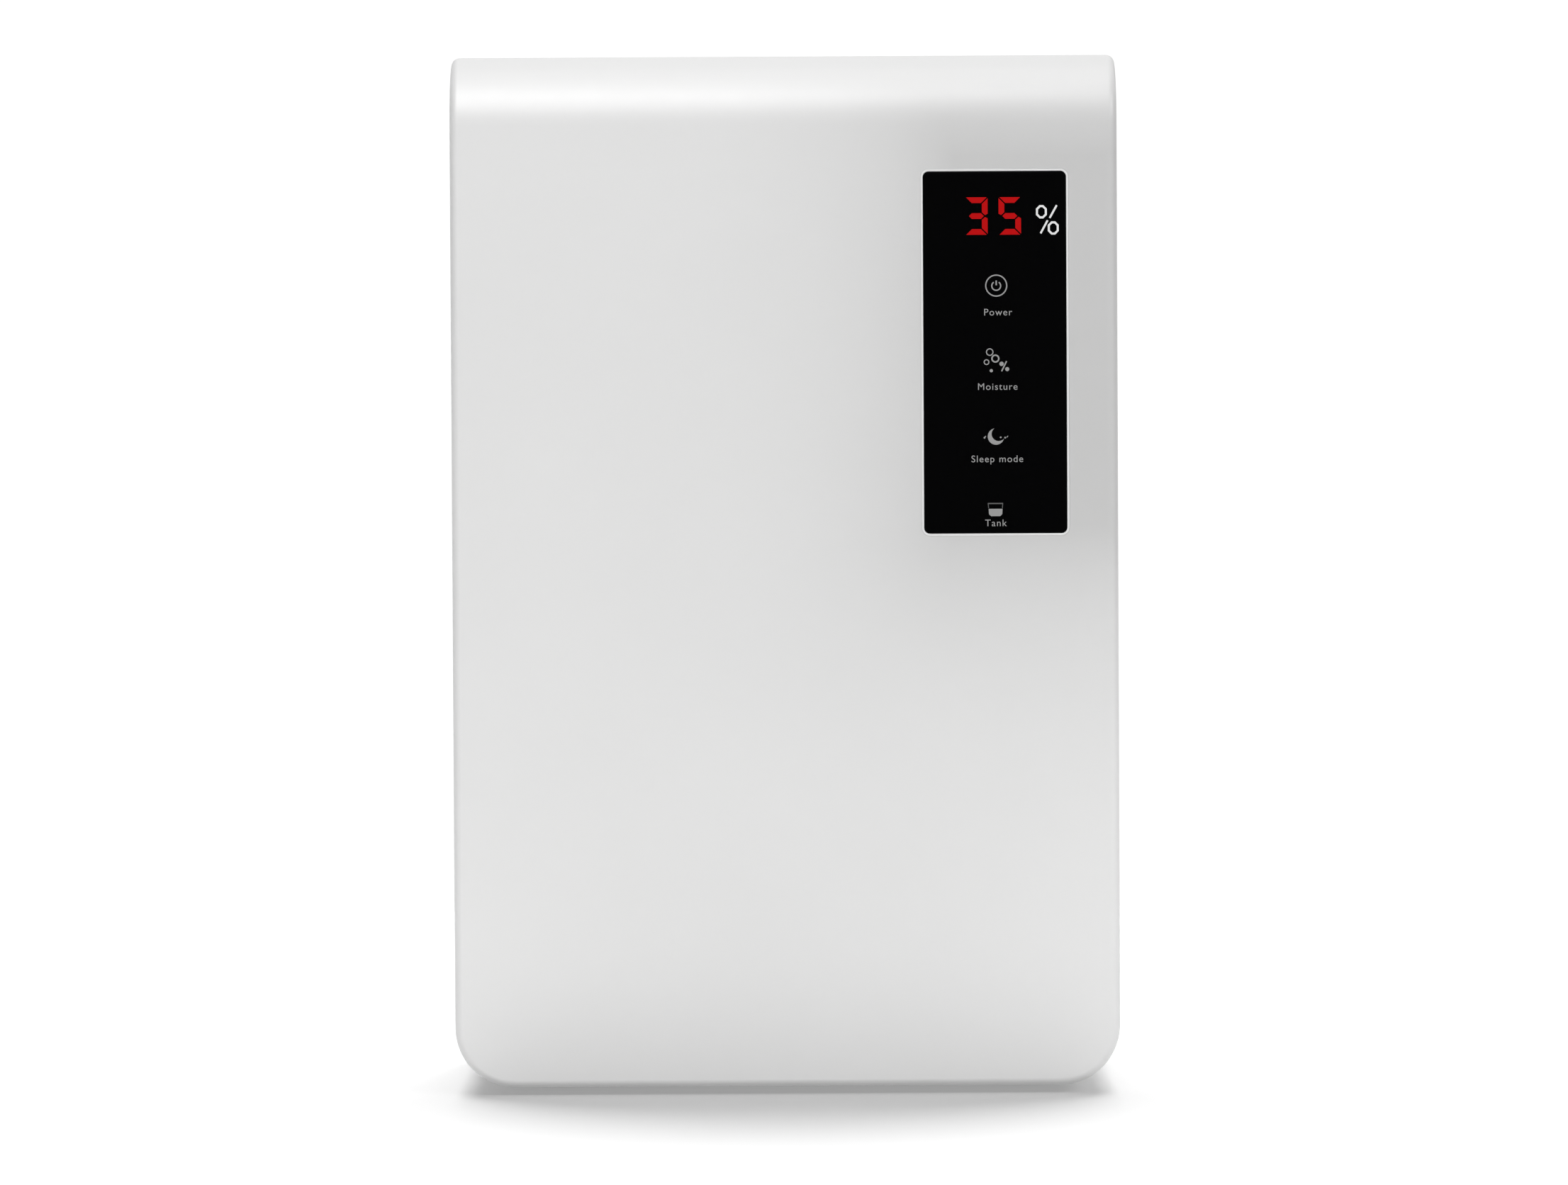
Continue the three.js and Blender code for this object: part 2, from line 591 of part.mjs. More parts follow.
// ---------- electrics ----------
function mainBoard() {
  const { x0, x1, z0, z1, y } = mainBoardSize;
  const part = (left, right, low, high, tall) => box(left, right, y - tall, y + 0.5, low, high);
  const capacitor = (x) => rod(4, 'y', [x, y + 0.5, z0 + 20], -8.5);
  const converter = part(-40, -24, z0 + 10, z0 + 24, 6);
  const controller = part(-30, -8, z0 + 32, z0 + 48, 2);
  const fanSocket = part(-66, -52, z1 - 16, z1 - 9, 5);
  const powerSocket = part(-22, -12, z1 - 11, z1 - 5, 5);
  return cut(join(box(x0, x1, y, y + board, z0, z1), capacitor(-62), capacitor(-50), converter, controller,
    fanSocket, powerSocket), ...mainBoardSize.screws.map(([x, z]) => rod(1.6, 'y', [x, y - 1, z], 5)));
}

function humiditySensor() {
  return join(box(-104, -90, 56, 57.2, 220, 240), box(-100, -94, 57, 61, 228, 236));
}

function dcJack() {
  const { x, z, half, front } = jack;
  const body = join(box(x - half, x + half, front, innerRearY - gap, z - half, z + half),
    rod(jack.collar, 'y', [x, front + 3, z], rearY - gap - front - 3));
  return body.subtract(rod(jack.bore, 'y', [x, front + 5, z], 20))
    .add(rod(jack.pin, 'y', [x, front + 3, z], 9, 12));
}

// A flat cable from the main board, up to the display board's connector.
function displayCable() {
  const turn = 8;
  const flat = 10;
  const right = display.x - 6;
  const low = 86;
  const outline = new THREE.Shape();
  outline.moveTo(2, low);
  outline.lineTo(right - turn, low);
  outline.absarc(right - turn, low + turn, turn, -90 * degrees, 0, false);
  outline.lineTo(right, display.z - 59);
  outline.lineTo(right - flat, display.z - 59);
  outline.lineTo(right - flat, low + flat + 2);
  outline.absarc(right - flat - 2, low + flat + 2, 2, 0, -90 * degrees, true);
  outline.lineTo(2, low + flat);
  const y0 = displayBoardSize.y + board + gap;
  return frontPlate(outline, y0, y0 + 1);
}

// ---------- assembly ----------
const model = new THREE.Group();

function place(name, shape, material, position = [0, 0, 0], parent = model) {
  const mesh = piece(name, shape, material);
  mesh.position.set(...position);
  parent.add(mesh);
  return mesh;
}

place('front_panel', frontPanel(), whitePlastic);
place('rear_housing', rearHousing(), whitePlastic);
place('top_grille', topGrille(), greyPlastic);
place('intake_grille', intakeGrille(), whitePlastic);
place('air_filter', airFilter(), blackPlastic);
place('base_plate', basePlate(), whitePlastic);
foot.y.forEach((y, row) => {
  [-foot.x, foot.x].forEach((x, column) => {
    place(`foot_${2 * row + column + 1}`, rubberFoot(), rubber, [x, y, 0]);
  });
});

place('display_bezel', displayBezel(), whitePlastic);
place('display_glass', displayGlass(), blackGlass);
place('light_mask', lightMask(), blackPlastic);
place('digit_module', digitModule(), blackPlastic);
place('display_board', displayBoard(), circuitGreen);
Object.entries(keys).forEach(([key, z]) => {
  place(`touch_spring_${key}`, touchSpring(), copper, [display.x, displayBoardSize.y - gap, display.z + z]);
});

place('inner_chassis', innerChassis(), greyPlastic);
place('tank', tankBucket(), clearPlastic);
place('tank_lid', tankLid(), greyPlastic);
place('tank_face', tankFace(), whitePlastic);
place('tank_handle', tankHandle(), greyPlastic);
const floatGroup = new THREE.Group();
floatGroup.position.set(float.x, float.y, float.z);
floatGroup.rotation.x = float.droop * degrees;
model.add(floatGroup);
place('float_arm', floatArm(), whitePlastic, [0, 0, 0], floatGroup);
place('float_magnet', floatMagnet(), steel, [0, 0, 0], floatGroup);
place('level_sensor', levelSensor(), blackPlastic);
place('drip_tray', dripTray(), whitePlastic);

place('air_divider', airDivider(), greyPlastic);
place('cold_sink', coldSink(), aluminium);
place('peltier_module', peltierModule(), ceramic);
place('sink_gasket', sinkGasket(), foam);
place('hot_sink', hotSink(), aluminium);
place('fan_deck', fanDeck(), greyPlastic);

const fan = new THREE.Group();
fan.position.set(0, 0, fanBaseZ);
model.add(fan);
place('fan_frame', fanFrame(), blackPlastic, [0, 0, 0], fan);
place('fan_stator', fanStator(), copper, [0, 0, 0], fan);
place('fan_rotor', fanRotor(), blackPlastic, [0, 0, 0], fan);

place('main_board', mainBoard(), circuitGreen);
place('humidity_sensor', humiditySensor(), circuitGreen);
place('dc_jack', dcJack(), blackPlastic);
place('display_cable', displayCable(), greyPlastic);
place('power_lead', lead(powerRoute, wire.power), blackWire);
place('fan_lead', lead(fanRoute, wire.fan), blackWire);
place('peltier_lead_red', lead(peltierRoute(wire.apart), wire.peltier), redWire);
place('peltier_lead_black', lead(peltierRoute(-wire.apart), wire.peltier), blackWire);

// ---------- fasteners ----------
// Each screw is drawn head up, and is turned where its head faces the front or the rear.
function drive(name, shape, position, headTowards) {
  const mesh = place(name, shape, steel, position);
  if (headTowards === 'front') mesh.rotation.x = 90 * degrees;
  if (headTowards === 'rear') mesh.rotation.x = -90 * degrees;
}

const fanHeads = atCorners(fanSize.hole, fanSize.hole, (x, y) => [x, y, fanBaseZ + fanSize.depth + gap]);
fanHeads.forEach((head, i) => {
  drive(`fan_screw_${i + 1}`, screw(3.6, 2, 1.7, fanSize.depth + wall), head);
});
const tubeSeats = [-tube.x, tube.x].flatMap((x) => tube.z.map((z) => [x, partingY + tube.seat + gap, z]));
tubeSeats.forEach((head, i) => {
  drive(`housing_screw_${i + 1}`, screw(2.5, 2, 1.3, 14), head, 'rear');
});
mainBoardSize.screws.forEach(([x, z], i) => {
  drive(`board_screw_${i + 1}`, screw(2.6, 1.8, 1.2, 7), [x, mainBoardSize.y - gap, z], 'front');
});
[-1, 1].forEach((side, i) => {
  const displayHead = [display.x, displayBoardSize.y + board + gap, display.z + side * displayBoardSize.postZ];
  const sinkHead = [side * sinkScrewX, peltier.y1 + gap + 4 + gap, peltier.z];
  drive(`display_screw_${i + 1}`, screw(2.4, 1.6, 0.9, 6), displayHead, 'rear');
  drive(`sink_screw_${i + 1}`, screw(2.6, 2.2, 1.5, 11), sinkHead, 'rear');
});

export default model;
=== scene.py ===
import json
import math

import bmesh
import bpy
from mathutils import Matrix, Vector

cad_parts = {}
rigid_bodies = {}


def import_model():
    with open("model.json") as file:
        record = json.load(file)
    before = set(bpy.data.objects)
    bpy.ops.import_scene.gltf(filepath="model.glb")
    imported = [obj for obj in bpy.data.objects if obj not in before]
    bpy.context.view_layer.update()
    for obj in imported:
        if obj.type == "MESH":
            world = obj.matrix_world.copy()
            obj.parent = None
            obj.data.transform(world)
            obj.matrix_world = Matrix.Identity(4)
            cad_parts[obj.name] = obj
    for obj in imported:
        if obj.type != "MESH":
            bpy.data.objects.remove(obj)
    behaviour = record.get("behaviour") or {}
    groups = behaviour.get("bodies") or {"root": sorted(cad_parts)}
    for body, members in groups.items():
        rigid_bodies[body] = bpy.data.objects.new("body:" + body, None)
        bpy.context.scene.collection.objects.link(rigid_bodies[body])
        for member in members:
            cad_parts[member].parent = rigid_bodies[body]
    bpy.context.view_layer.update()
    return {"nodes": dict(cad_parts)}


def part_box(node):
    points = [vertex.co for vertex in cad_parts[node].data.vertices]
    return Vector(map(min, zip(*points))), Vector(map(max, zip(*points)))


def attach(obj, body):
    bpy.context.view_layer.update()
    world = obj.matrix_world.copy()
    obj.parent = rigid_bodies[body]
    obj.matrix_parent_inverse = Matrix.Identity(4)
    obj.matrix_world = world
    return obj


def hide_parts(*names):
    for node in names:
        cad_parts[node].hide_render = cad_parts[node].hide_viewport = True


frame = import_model()

MM = 0.001
X, Y, Z = 0, 1, 2
HAIR = 1e-5  # slack when an edge is picked by its place
MERGE = 1e-6  # points nearer than this become one
PAST = 0.01  # how far a cutting shape reaches past the face it opens


# ---------- shapes ----------
def block(low, high):
    """A box between two corners."""
    bm = bmesh.new()
    bmesh.ops.create_cube(bm, size=1)
    bmesh.ops.scale(bm, verts=bm.verts, vec=Vector(high) - Vector(low))
    bmesh.ops.translate(bm, verts=bm.verts, vec=(Vector(high) + Vector(low)) / 2)
    return bm


def edges_along(bm, axis, test=lambda middle: True):
    """The straight edges that run along one axis and whose middles pass a test."""
    found = []
    for edge in bm.edges:
        start, end = (vert.co for vert in edge.verts)
        if abs((end - start).normalized()[axis]) > 0.999 and test((start + end) / 2):
            found.append(edge)
    return found


def sharp_edges(bm, degrees=40):
    limit = math.radians(degrees)
    return [edge for edge in bm.edges if len(edge.link_faces) == 2 and edge.calc_face_angle() > limit]


def round_edges(bm, edges, radius, segments):
    bmesh.ops.bevel(bm, geom=edges, offset=radius, offset_type="OFFSET", affect="EDGES",
                    segments=segments, profile=0.5, material=-1, clamp_overlap=True)
    return bm


def slab(low, high, axis, radius, segments=8):
    """A box whose four edges along one axis are rounded."""
    bm = block(low, high)
    return round_edges(bm, edges_along(bm, axis), radius, segments)


def turned(profile, centre, axis=Z, steps=32):
    """A closed profile of (radius, height) points, spun about an axis through its centre."""
    bm = bmesh.new()
    verts = [bm.verts.new((radius, 0, height)) for radius, height in profile]
    edges = [bm.edges.new(pair) for pair in zip(verts, verts[1:])]
    bmesh.ops.spin(bm, geom=verts + edges, cent=(0, 0, 0), axis=(0, 0, 1),
                   angle=2 * math.pi, steps=steps, use_merge=True)
    bmesh.ops.remove_doubles(bm, verts=bm.verts, dist=MERGE)
    turns = {X: Matrix.Rotation(math.pi / 2, 4, "Y"), Y: Matrix.Rotation(-math.pi / 2, 4, "X"),
             Z: Matrix.Identity(4)}
    bmesh.ops.transform(bm, matrix=Matrix.Translation(centre) @ turns[axis], verts=bm.verts)
    bmesh.ops.recalc_face_normals(bm, faces=bm.faces)
    return bm


def rod(radius, centre, length, axis, steps=32):
    """A round bar that starts at its centre point and runs along an axis."""
    return turned([(0, 0), (radius, 0), (radius, length), (0, length)], centre, axis, steps)


def gather(*shapes):
    """Several shapes in one mesh."""
    whole = shapes[0]
    for shape in shapes[1:]:
        mesh = bpy.data.meshes.new("part")
        shape.to_mesh(mesh)
        shape.free()
        whole.from_mesh(mesh)
        bpy.data.meshes.remove(mesh)
    return whole


def loose(shape):
    mesh = bpy.data.meshes.new("part")
    shape.to_mesh(mesh)
    shape.free()
    piece = bpy.data.objects.new("part", mesh)
    bpy.context.scene.collection.objects.link(piece)
    return piece


def combine(shape, operation, *tools):
    """Joins closed shapes to a shape, or cuts them out of it or keeps what they share."""
    target = loose(shape)
    helpers = [loose(tool) for tool in tools]
    for helper in helpers:
        modifier = target.modifiers.new("combine", "BOOLEAN")
        modifier.operation = operation
        modifier.solver = "EXACT"
        modifier.object = helper
    depsgraph = bpy.context.evaluated_depsgraph_get()
    result = bmesh.new()
    result.from_object(target, depsgraph)
    for helper in [target, *helpers]:
        bpy.data.meshes.remove(helper.data)
    return result


def cut(shape, *tools):
    return combine(shape, "DIFFERENCE", *tools)


def grown(low, high, by):
    by = Vector(by)
    return Vector(low) - by, Vector(high) + by


def make(name, shape, material, body, replaces=(), smooth=35, soften=0.0):
    """Finishes a shape as a named piece on a body, with softened edges where asked."""
    mesh = bpy.data.meshes.new(name)
    shape.to_mesh(mesh)
    shape.free()
    mesh.shade_smooth()
    mesh.set_sharp_from_angle(angle=math.radians(smooth))
    piece = bpy.data.objects.new(name, mesh)
    bpy.context.scene.collection.objects.link(piece)
    mesh.materials.append(material)
    if soften:
        bevel = piece.modifiers.new("soften", "BEVEL")
        bevel.width = soften
        bevel.segments = 2
        bevel.limit_method = "ANGLE"
        bevel.angle_limit = math.radians(50)
        bevel.harden_normals = True
    weighted = piece.modifiers.new("even_shading", "WEIGHTED_NORMAL")
    weighted.keep_sharp = True
    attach(piece, body)
    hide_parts(*replaces)
    return piece


# ---------- materials ----------
class Finish:
    """A surface finish made of nodes around one shader, on object coordinates."""

    def __init__(self, name, color, roughness, metallic=0.0, **sockets):
        self.material = bpy.data.materials.new(name)
        self.material.use_nodes = True
        self.nodes = self.material.node_tree.nodes
        self.links = self.material.node_tree.links
        self.shader = self.nodes["Principled BSDF"]
        self.shader.inputs["Base Color"].default_value = (*color, 1)
        self.shader.inputs["Roughness"].default_value = roughness
        self.shader.inputs["Metallic"].default_value = metallic
        for socket, value in sockets.items():
            self.shader.inputs[socket.replace("_", " ")].default_value = value
        self.place = self.nodes.new("ShaderNodeTexCoord").outputs["Object"]

    def noise(self, scale, detail=3.0, stretch=(1, 1, 1)):
        mapping = self.nodes.new("ShaderNodeMapping")
        mapping.inputs["Scale"].default_value = stretch
        texture = self.nodes.new("ShaderNodeTexNoise")
        texture.inputs["Scale"].default_value = scale
        texture.inputs["Detail"].default_value = detail
        self.links.new(self.place, mapping.inputs["Vector"])
        self.links.new(mapping.outputs["Vector"], texture.inputs["Vector"])
        return texture.outputs["Fac"]

    def spread(self, source, low, high):
        """The source's middle range spread over low to high."""
        reach = self.nodes.new("ShaderNodeMapRange")
        reach.inputs["From Min"].default_value = 0.3
        reach.inputs["From Max"].default_value = 0.7
        reach.inputs["To Min"].default_value = low
        reach.inputs["To Max"].default_value = high
        self.links.new(source, reach.inputs["Value"])
        return reach.outputs["Result"]

    def vary_color(self, source, first, second):
        mix = self.nodes.new("ShaderNodeMix")
        mix.data_type = "RGBA"
        mix.inputs["A"].default_value = (*first, 1)
        mix.inputs["B"].default_value = (*second, 1)
        self.links.new(source, mix.inputs["Factor"])
        self.links.new(mix.outputs["Result"], self.shader.inputs["Base Color"])
        return mix

    def vary_roughness(self, source):
        self.links.new(source, self.shader.inputs["Roughness"])

    def bump(self, source, strength, depth):
        bump = self.nodes.new("ShaderNodeBump")
        bump.inputs["Strength"].default_value = strength
        bump.inputs["Distance"].default_value = depth
        self.links.new(source, bump.inputs["Height"])
        self.links.new(bump.outputs["Normal"], self.shader.inputs["Normal"])

    def math(self, operation, first, second=None):
        node = self.nodes.new("ShaderNodeMath")
        node.operation = operation
        for socket, value in zip(node.inputs, (first, second)):
            if isinstance(value, (int, float)):
                socket.default_value = value
            elif value is not None:
                self.links.new(value, socket)
        return node.outputs["Value"]


def shade(color, factor):
    return tuple(channel * factor for channel in color)


def moulded(name, color, roughness, grain=1400, depth=0.00003, mottle=0.03, **sockets):
    """Moulded plastic: a fine grain, and slow changes of tone and gloss."""
    finish = Finish(name, color, roughness, **sockets)
    slow = finish.noise(18, 2)
    finish.vary_color(finish.spread(slow, 0, 1), shade(color, 1 - mottle), shade(color, 1 + mottle))
    finish.vary_roughness(finish.spread(finish.noise(240, 4), roughness * 0.9, roughness * 1.1))
    finish.bump(finish.noise(grain, 2), 0.25, depth)
    return finish


WHITE = (0.78, 0.78, 0.778)
SATIN = 0.32
white_shell = moulded("white_shell", WHITE, SATIN, mottle=0.006).material
white_inner = moulded("white_inner", shade(WHITE, 0.95), 0.5, mottle=0.015).material
grey_plastic = moulded("grey_plastic", (0.30, 0.31, 0.32), 0.5).material
dark_plastic = moulded("dark_plastic", (0.022, 0.023, 0.025), 0.45, mottle=0.15).material
fan_plastic = moulded("fan_plastic", (0.018, 0.018, 0.02), 0.35, mottle=0.2).material
black_rubber = moulded("black_rubber", (0.02, 0.02, 0.021), 0.8, grain=900, depth=0.00012,
                       mottle=0.2).material
foam = moulded("foam", (0.03, 0.031, 0.033), 0.95, grain=700, depth=0.0004, mottle=0.3).material


# Painted shade round the display: how dark it gets, how far it reaches, and how far its middle sits off the
# display's middle.
SHADE_DEPTH = 0.245
SHADE_REACH = 33 * MM
SHADE_SHIFT = Vector((12 * MM, 0, 4 * MM))
SIDE_FALL = 1 / (5 * MM) ** 2


def front_with_painted_shade(display_low, display_high):
    """The white shell of the front, with painted shade: a soft dark halo painted into its colour round the
    display, deepest on its right.
    """
    finish = moulded("front_shell", WHITE, SATIN, mottle=0.006)
    middle = (display_low + display_high) / 2 + SHADE_SHIFT
    half = (display_high - display_low) / 2
    parts = finish.nodes.new("ShaderNodeSeparateXYZ")
    finish.links.new(finish.place, parts.inputs["Vector"])
    beyond = []
    for axis in (X, Z):
        offset = finish.math("ABSOLUTE", finish.math("SUBTRACT", parts.outputs[axis], middle[axis]))
        beyond.append(finish.math("MAXIMUM", finish.math("SUBTRACT", offset, half[axis]), 0.0))
    squares = [finish.math("MULTIPLY", value, value) for value in beyond]
    distance = finish.math("SQRT", finish.math("ADD", *squares))
    fall = finish.math("EXPONENT", finish.math("MULTIPLY", distance, -1 / SHADE_REACH))
    back = finish.math("SUBTRACT", parts.outputs[Y], display_low.y)
    square = finish.math("MULTIPLY", back, back)
    facing = finish.math("EXPONENT", finish.math("MULTIPLY", square, -SIDE_FALL))
    depth = finish.math("MULTIPLY", facing, SHADE_DEPTH)
    # Painted shade: the front's white is scaled down by this factor, most next to the display and only on
    # the front face.
    painted_shade_factor = finish.math("SUBTRACT", 1.0, finish.math("MULTIPLY", fall, depth))
    color = finish.shader.inputs["Base Color"].links[0].from_socket
    darken = finish.nodes.new("ShaderNodeVectorMath")
    darken.operation = "SCALE"
    finish.links.new(color, darken.inputs[0])
    finish.links.new(painted_shade_factor, darken.inputs["Scale"])
    finish.links.new(darken.outputs["Vector"], finish.shader.inputs["Base Color"])
    return finish.material


def glass_finish():
    finish = Finish("display_black", (0.0015, 0.0015, 0.0017), 0.06, Specular_IOR_Level=0.35)
    finish.vary_roughness(finish.spread(finish.noise(60, 3), 0.045, 0.09))
    finish.bump(finish.noise(35, 1), 0.05, 0.0002)
    return finish.material


def lit_finish(name, color, strength):
    finish = Finish(name, shade(color, 0.03), 0.4, Emission_Strength=strength, Specular_IOR_Level=0.1)
    finish.shader.inputs["Emission Color"].default_value = (*color, 1)
    finish.bump(finish.noise(3000, 1), 0.1, 0.00001)
    return finish.material


def tank_finish():
    finish = Finish("smoky_tank", (0.72, 0.79, 0.83), 0.12, Transmission_Weight=0.92, IOR=1.46)
    finish.vary_roughness(finish.spread(finish.noise(50, 3), 0.08, 0.18))
    finish.bump(finish.noise(120, 2), 0.15, 0.0002)
    return finish.material


def metal(name, color, roughness, stretch, scale=90):
    """Drawn or rolled metal, with fine lines along one direction."""
    finish = Finish(name, color, roughness, metallic=1.0)
    lines = finish.noise(scale, 4, stretch)
    finish.vary_color(finish.spread(lines, 0, 1), shade(color, 0.88), color)
    finish.vary_roughness(finish.spread(lines, roughness * 0.8, roughness * 1.25))
    finish.bump(lines, 0.2, 0.00005)
    return finish.material


def circuit_finish():
    """Green solder mask with paler tracks under it."""
    finish = Finish("solder_mask", (0.012, 0.10, 0.04), 0.32)
    tracks = finish.noise(160, 0, (1, 1, 0.25))
    finish.vary_color(finish.spread(tracks, 0, 1), (0.008, 0.075, 0.03), (0.03, 0.17, 0.07))
    finish.bump(tracks, 0.3, 0.00008)
    return finish.material


smoky_tank = tank_finish()
black_glass = glass_finish()
aluminium = metal("extruded_aluminium", (0.74, 0.75, 0.76), 0.34, (30, 30, 1))
steel = metal("plated_steel", (0.6, 0.6, 0.61), 0.3, (4, 4, 4), 400)
copper = metal("copper_wire", (0.72, 0.36, 0.2), 0.32, (1, 1, 30), 200)
solder_mask = circuit_finish()
ceramic = moulded("alumina", (0.84, 0.83, 0.80), 0.5, mottle=0.02).material
red_wire = moulded("red_wire", (0.45, 0.012, 0.012), 0.45).material
black_wire = moulded("black_wire", (0.012, 0.012, 0.013), 0.45).material
ribbon = moulded("ribbon", (0.42, 0.43, 0.45), 0.4, grain=800).material
red_light = lit_finish("red_light", (0.45, 0.004, 0.005), 1.0)
white_light = lit_finish("white_light", (0.74, 0.74, 0.74), 1.0)
dim_light = lit_finish("dim_light", (0.30, 0.30, 0.30), 1.0)
faint_light = lit_finish("faint_light", (0.11, 0.11, 0.11), 1.0)

# ---------- housing ----------
WALL = 2.5 * MM
ROLL = 24 * MM
REAR_TOP = 12 * MM
LOWER_CORNER = 20.5 * MM
SIDE_EDGE = 2.7 * MM
SEAM = 0.3 * MM

front_low, front_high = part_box("front_panel")
rear_low, rear_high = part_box("rear_housing")
outer_low = Vector((front_low.x, front_low.y, front_low.z))
outer_high = Vector((front_high.x, rear_high.y, front_high.z))


def housing_form(inset):
    """The housing's whole form, drawn in all round: rolled front top, large lower corners, soft sides."""
    low, high = grown(outer_low, outer_high, (-inset, -inset, -inset))
    bm = block(low, high)
    middle = (low + high) / 2
    top = [edge for edge in edges_along(bm, X, lambda m: m.z > middle.z)]
    round_edges(bm, [e for e in top if e.verts[0].co.y < middle.y], ROLL - inset, 24)
    rear_top = edges_along(bm, X, lambda m: m.z > high.z - HAIR and m.y > high.y - HAIR)
    round_edges(bm, rear_top, REAR_TOP - inset, 12)
    round_edges(bm, edges_along(bm, Y, lambda m: m.z < low.z + HAIR), LOWER_CORNER - inset, 20)
    if inset == 0:
        round_edges(bm, sharp_edges(bm), SIDE_EDGE, 5)
    return bm


def shell_part(from_y, to_y):
    far = 0.5
    keep = block((-far, from_y, -far), (far, to_y, far))
    return combine(cut(housing_form(0), housing_form(WALL)), "INTERSECT", keep)


RIM = 0.8 * MM
RIM_CORNER = 2.8 * MM
GLASS_CORNER = 2 * MM
GLASS_SEAM = 0.03 * MM
display_low, display_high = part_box("display_bezel")
glass_low, glass_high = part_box("display_glass")
opening_low, opening_high = grown(glass_low, glass_high, (RIM + GLASS_SEAM, PAST, RIM + GLASS_SEAM))
opening_high.y = display_high.y
front_panel = cut(shell_part(-1, front_high.y), slab(opening_low, opening_high, Y, RIM_CORNER))
# The front shell's colour carries a painted halo of shade round the display.
make("front_shell", front_panel, front_with_painted_shade(display_low, display_high), "housing", ["front_panel"])

SCREW_BORE = 2.9 * MM
SCREW_SHANK = 1.7 * MM
SCREW_TUBE = 4.6 * MM
MOUTH_GAP = 0.8 * MM
MOUTH_CORNER = 12 * MM
WINDOW_CORNER = 3.4 * MM
EAR = 2.2 * MM
REAR_CUT = 4 * MM


def rear_shell():
    """The rear shell: screw tubes, the tank's mouth, the grilles' windows, the floor and the inlet's hole.

    The mouth's two top corners are rounder than the tank's face, so they lie over the face's corners.
    """
    bm = shell_part(rear_low.y, 1)
    face_low, face_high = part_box("tank_face")
    grille_low, grille_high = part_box("intake_grille")
    top_low, top_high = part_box("top_grille")
    base_low, base_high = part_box("base_plate")
    jack_low, jack_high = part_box("dc_jack")
    tubes, bores = [], []
    for i in range(1, 5):
        low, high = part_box(f"housing_screw_{i}")
        x, z = (low.x + high.x) / 2, (low.z + high.z) / 2
        tubes.append(rod(SCREW_TUBE, (x, rear_low.y, z), rear_high.y - rear_low.y - 1 * MM, Y))
        seat = high.y - 2 * MM
        bores.append(rod(SCREW_BORE, (x, seat, z), 0.2, Y))
        bores.append(rod(SCREW_SHANK, (x, rear_low.y - PAST, z), 0.03, Y))
    mouth_low, mouth_high = grown(face_low, face_high, (MOUTH_GAP, 0, MOUTH_GAP))
    mouth_low.y = rear_high.y - REAR_CUT
    mouth_high.y = rear_high.y + PAST
    window_low = Vector((grille_low.x + EAR, rear_high.y - REAR_CUT, grille_low.z - 0.4 * MM))
    window_high = Vector((grille_high.x - EAR, rear_high.y + PAST, grille_high.z + 0.4 * MM))
    top_window = grown(top_low, top_high, (SEAM, SEAM, 0.005))
    floor_window = (Vector((base_low.x - 0.5 * MM, base_low.y - 0.5 * MM, base_low.z - PAST)),
                    Vector((base_high.x + 0.5 * MM, base_high.y + 0.5 * MM, base_low.z + 4 * MM)))
    jack = (jack_low + jack_high) / 2
    socket = rod(4.5 * MM, (jack.x, rear_high.y - 5 * MM, jack.z), 0.02, Y)
    bm = combine(bm, "UNION", *tubes)
    mouth = slab(mouth_low, mouth_high, Y, MOUTH_CORNER)
    window = slab(window_low, window_high, Y, WINDOW_CORNER)
    return cut(bm, *bores, mouth, window, slab(*top_window, Z, 3 * MM), block(*floor_window), socket)


make("rear_shell", rear_shell(), white_shell, "housing", ["rear_housing"])


def ring_plate(low, high, axis, radius, border):
    """A flat frame with rounded outer corners and a smaller opening."""
    across = [0, 0, 0]
    for i in (X, Y, Z):
        across[i] = PAST if i == axis else -border
    opening = slab(*grown(low, high, across), axis, max(radius - border, 1 * MM))
    return cut(slab(low, high, axis, radius), opening)


def top_outlet():
    """The outlet on top: a frame, a middle rib and a row of rounded slats."""
    low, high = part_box("top_grille")
    border = 4.7 * MM
    shapes = [ring_plate(low, high, Z, 3 * MM, border)]
    middle = 1 * MM
    rib = block((low.x + border / 2, middle - 2 * MM, low.z),
                (high.x - border / 2, middle + 2 * MM, high.z - 0.1 * MM))
    shapes.append(round_edges(rib, rib.edges[:], 0.5 * MM, 2))
    slats = 22
    pitch = 7.4 * MM
    start = -(slats - 1) / 2 * pitch
    for i in range(slats):
        x = start + i * pitch
        slat = block((x - 1.6 * MM, low.y + border / 2, low.z - 4 * MM),
                     (x + 1.6 * MM, high.y - border / 2, high.z - 0.2 * MM))
        shapes.append(round_edges(slat, edges_along(slat, Y), 0.8 * MM, 3))
    return gather(*shapes)


make("outlet_grille", top_outlet(), grey_plastic, "housing", ["top_grille"], soften=0.35 * MM)


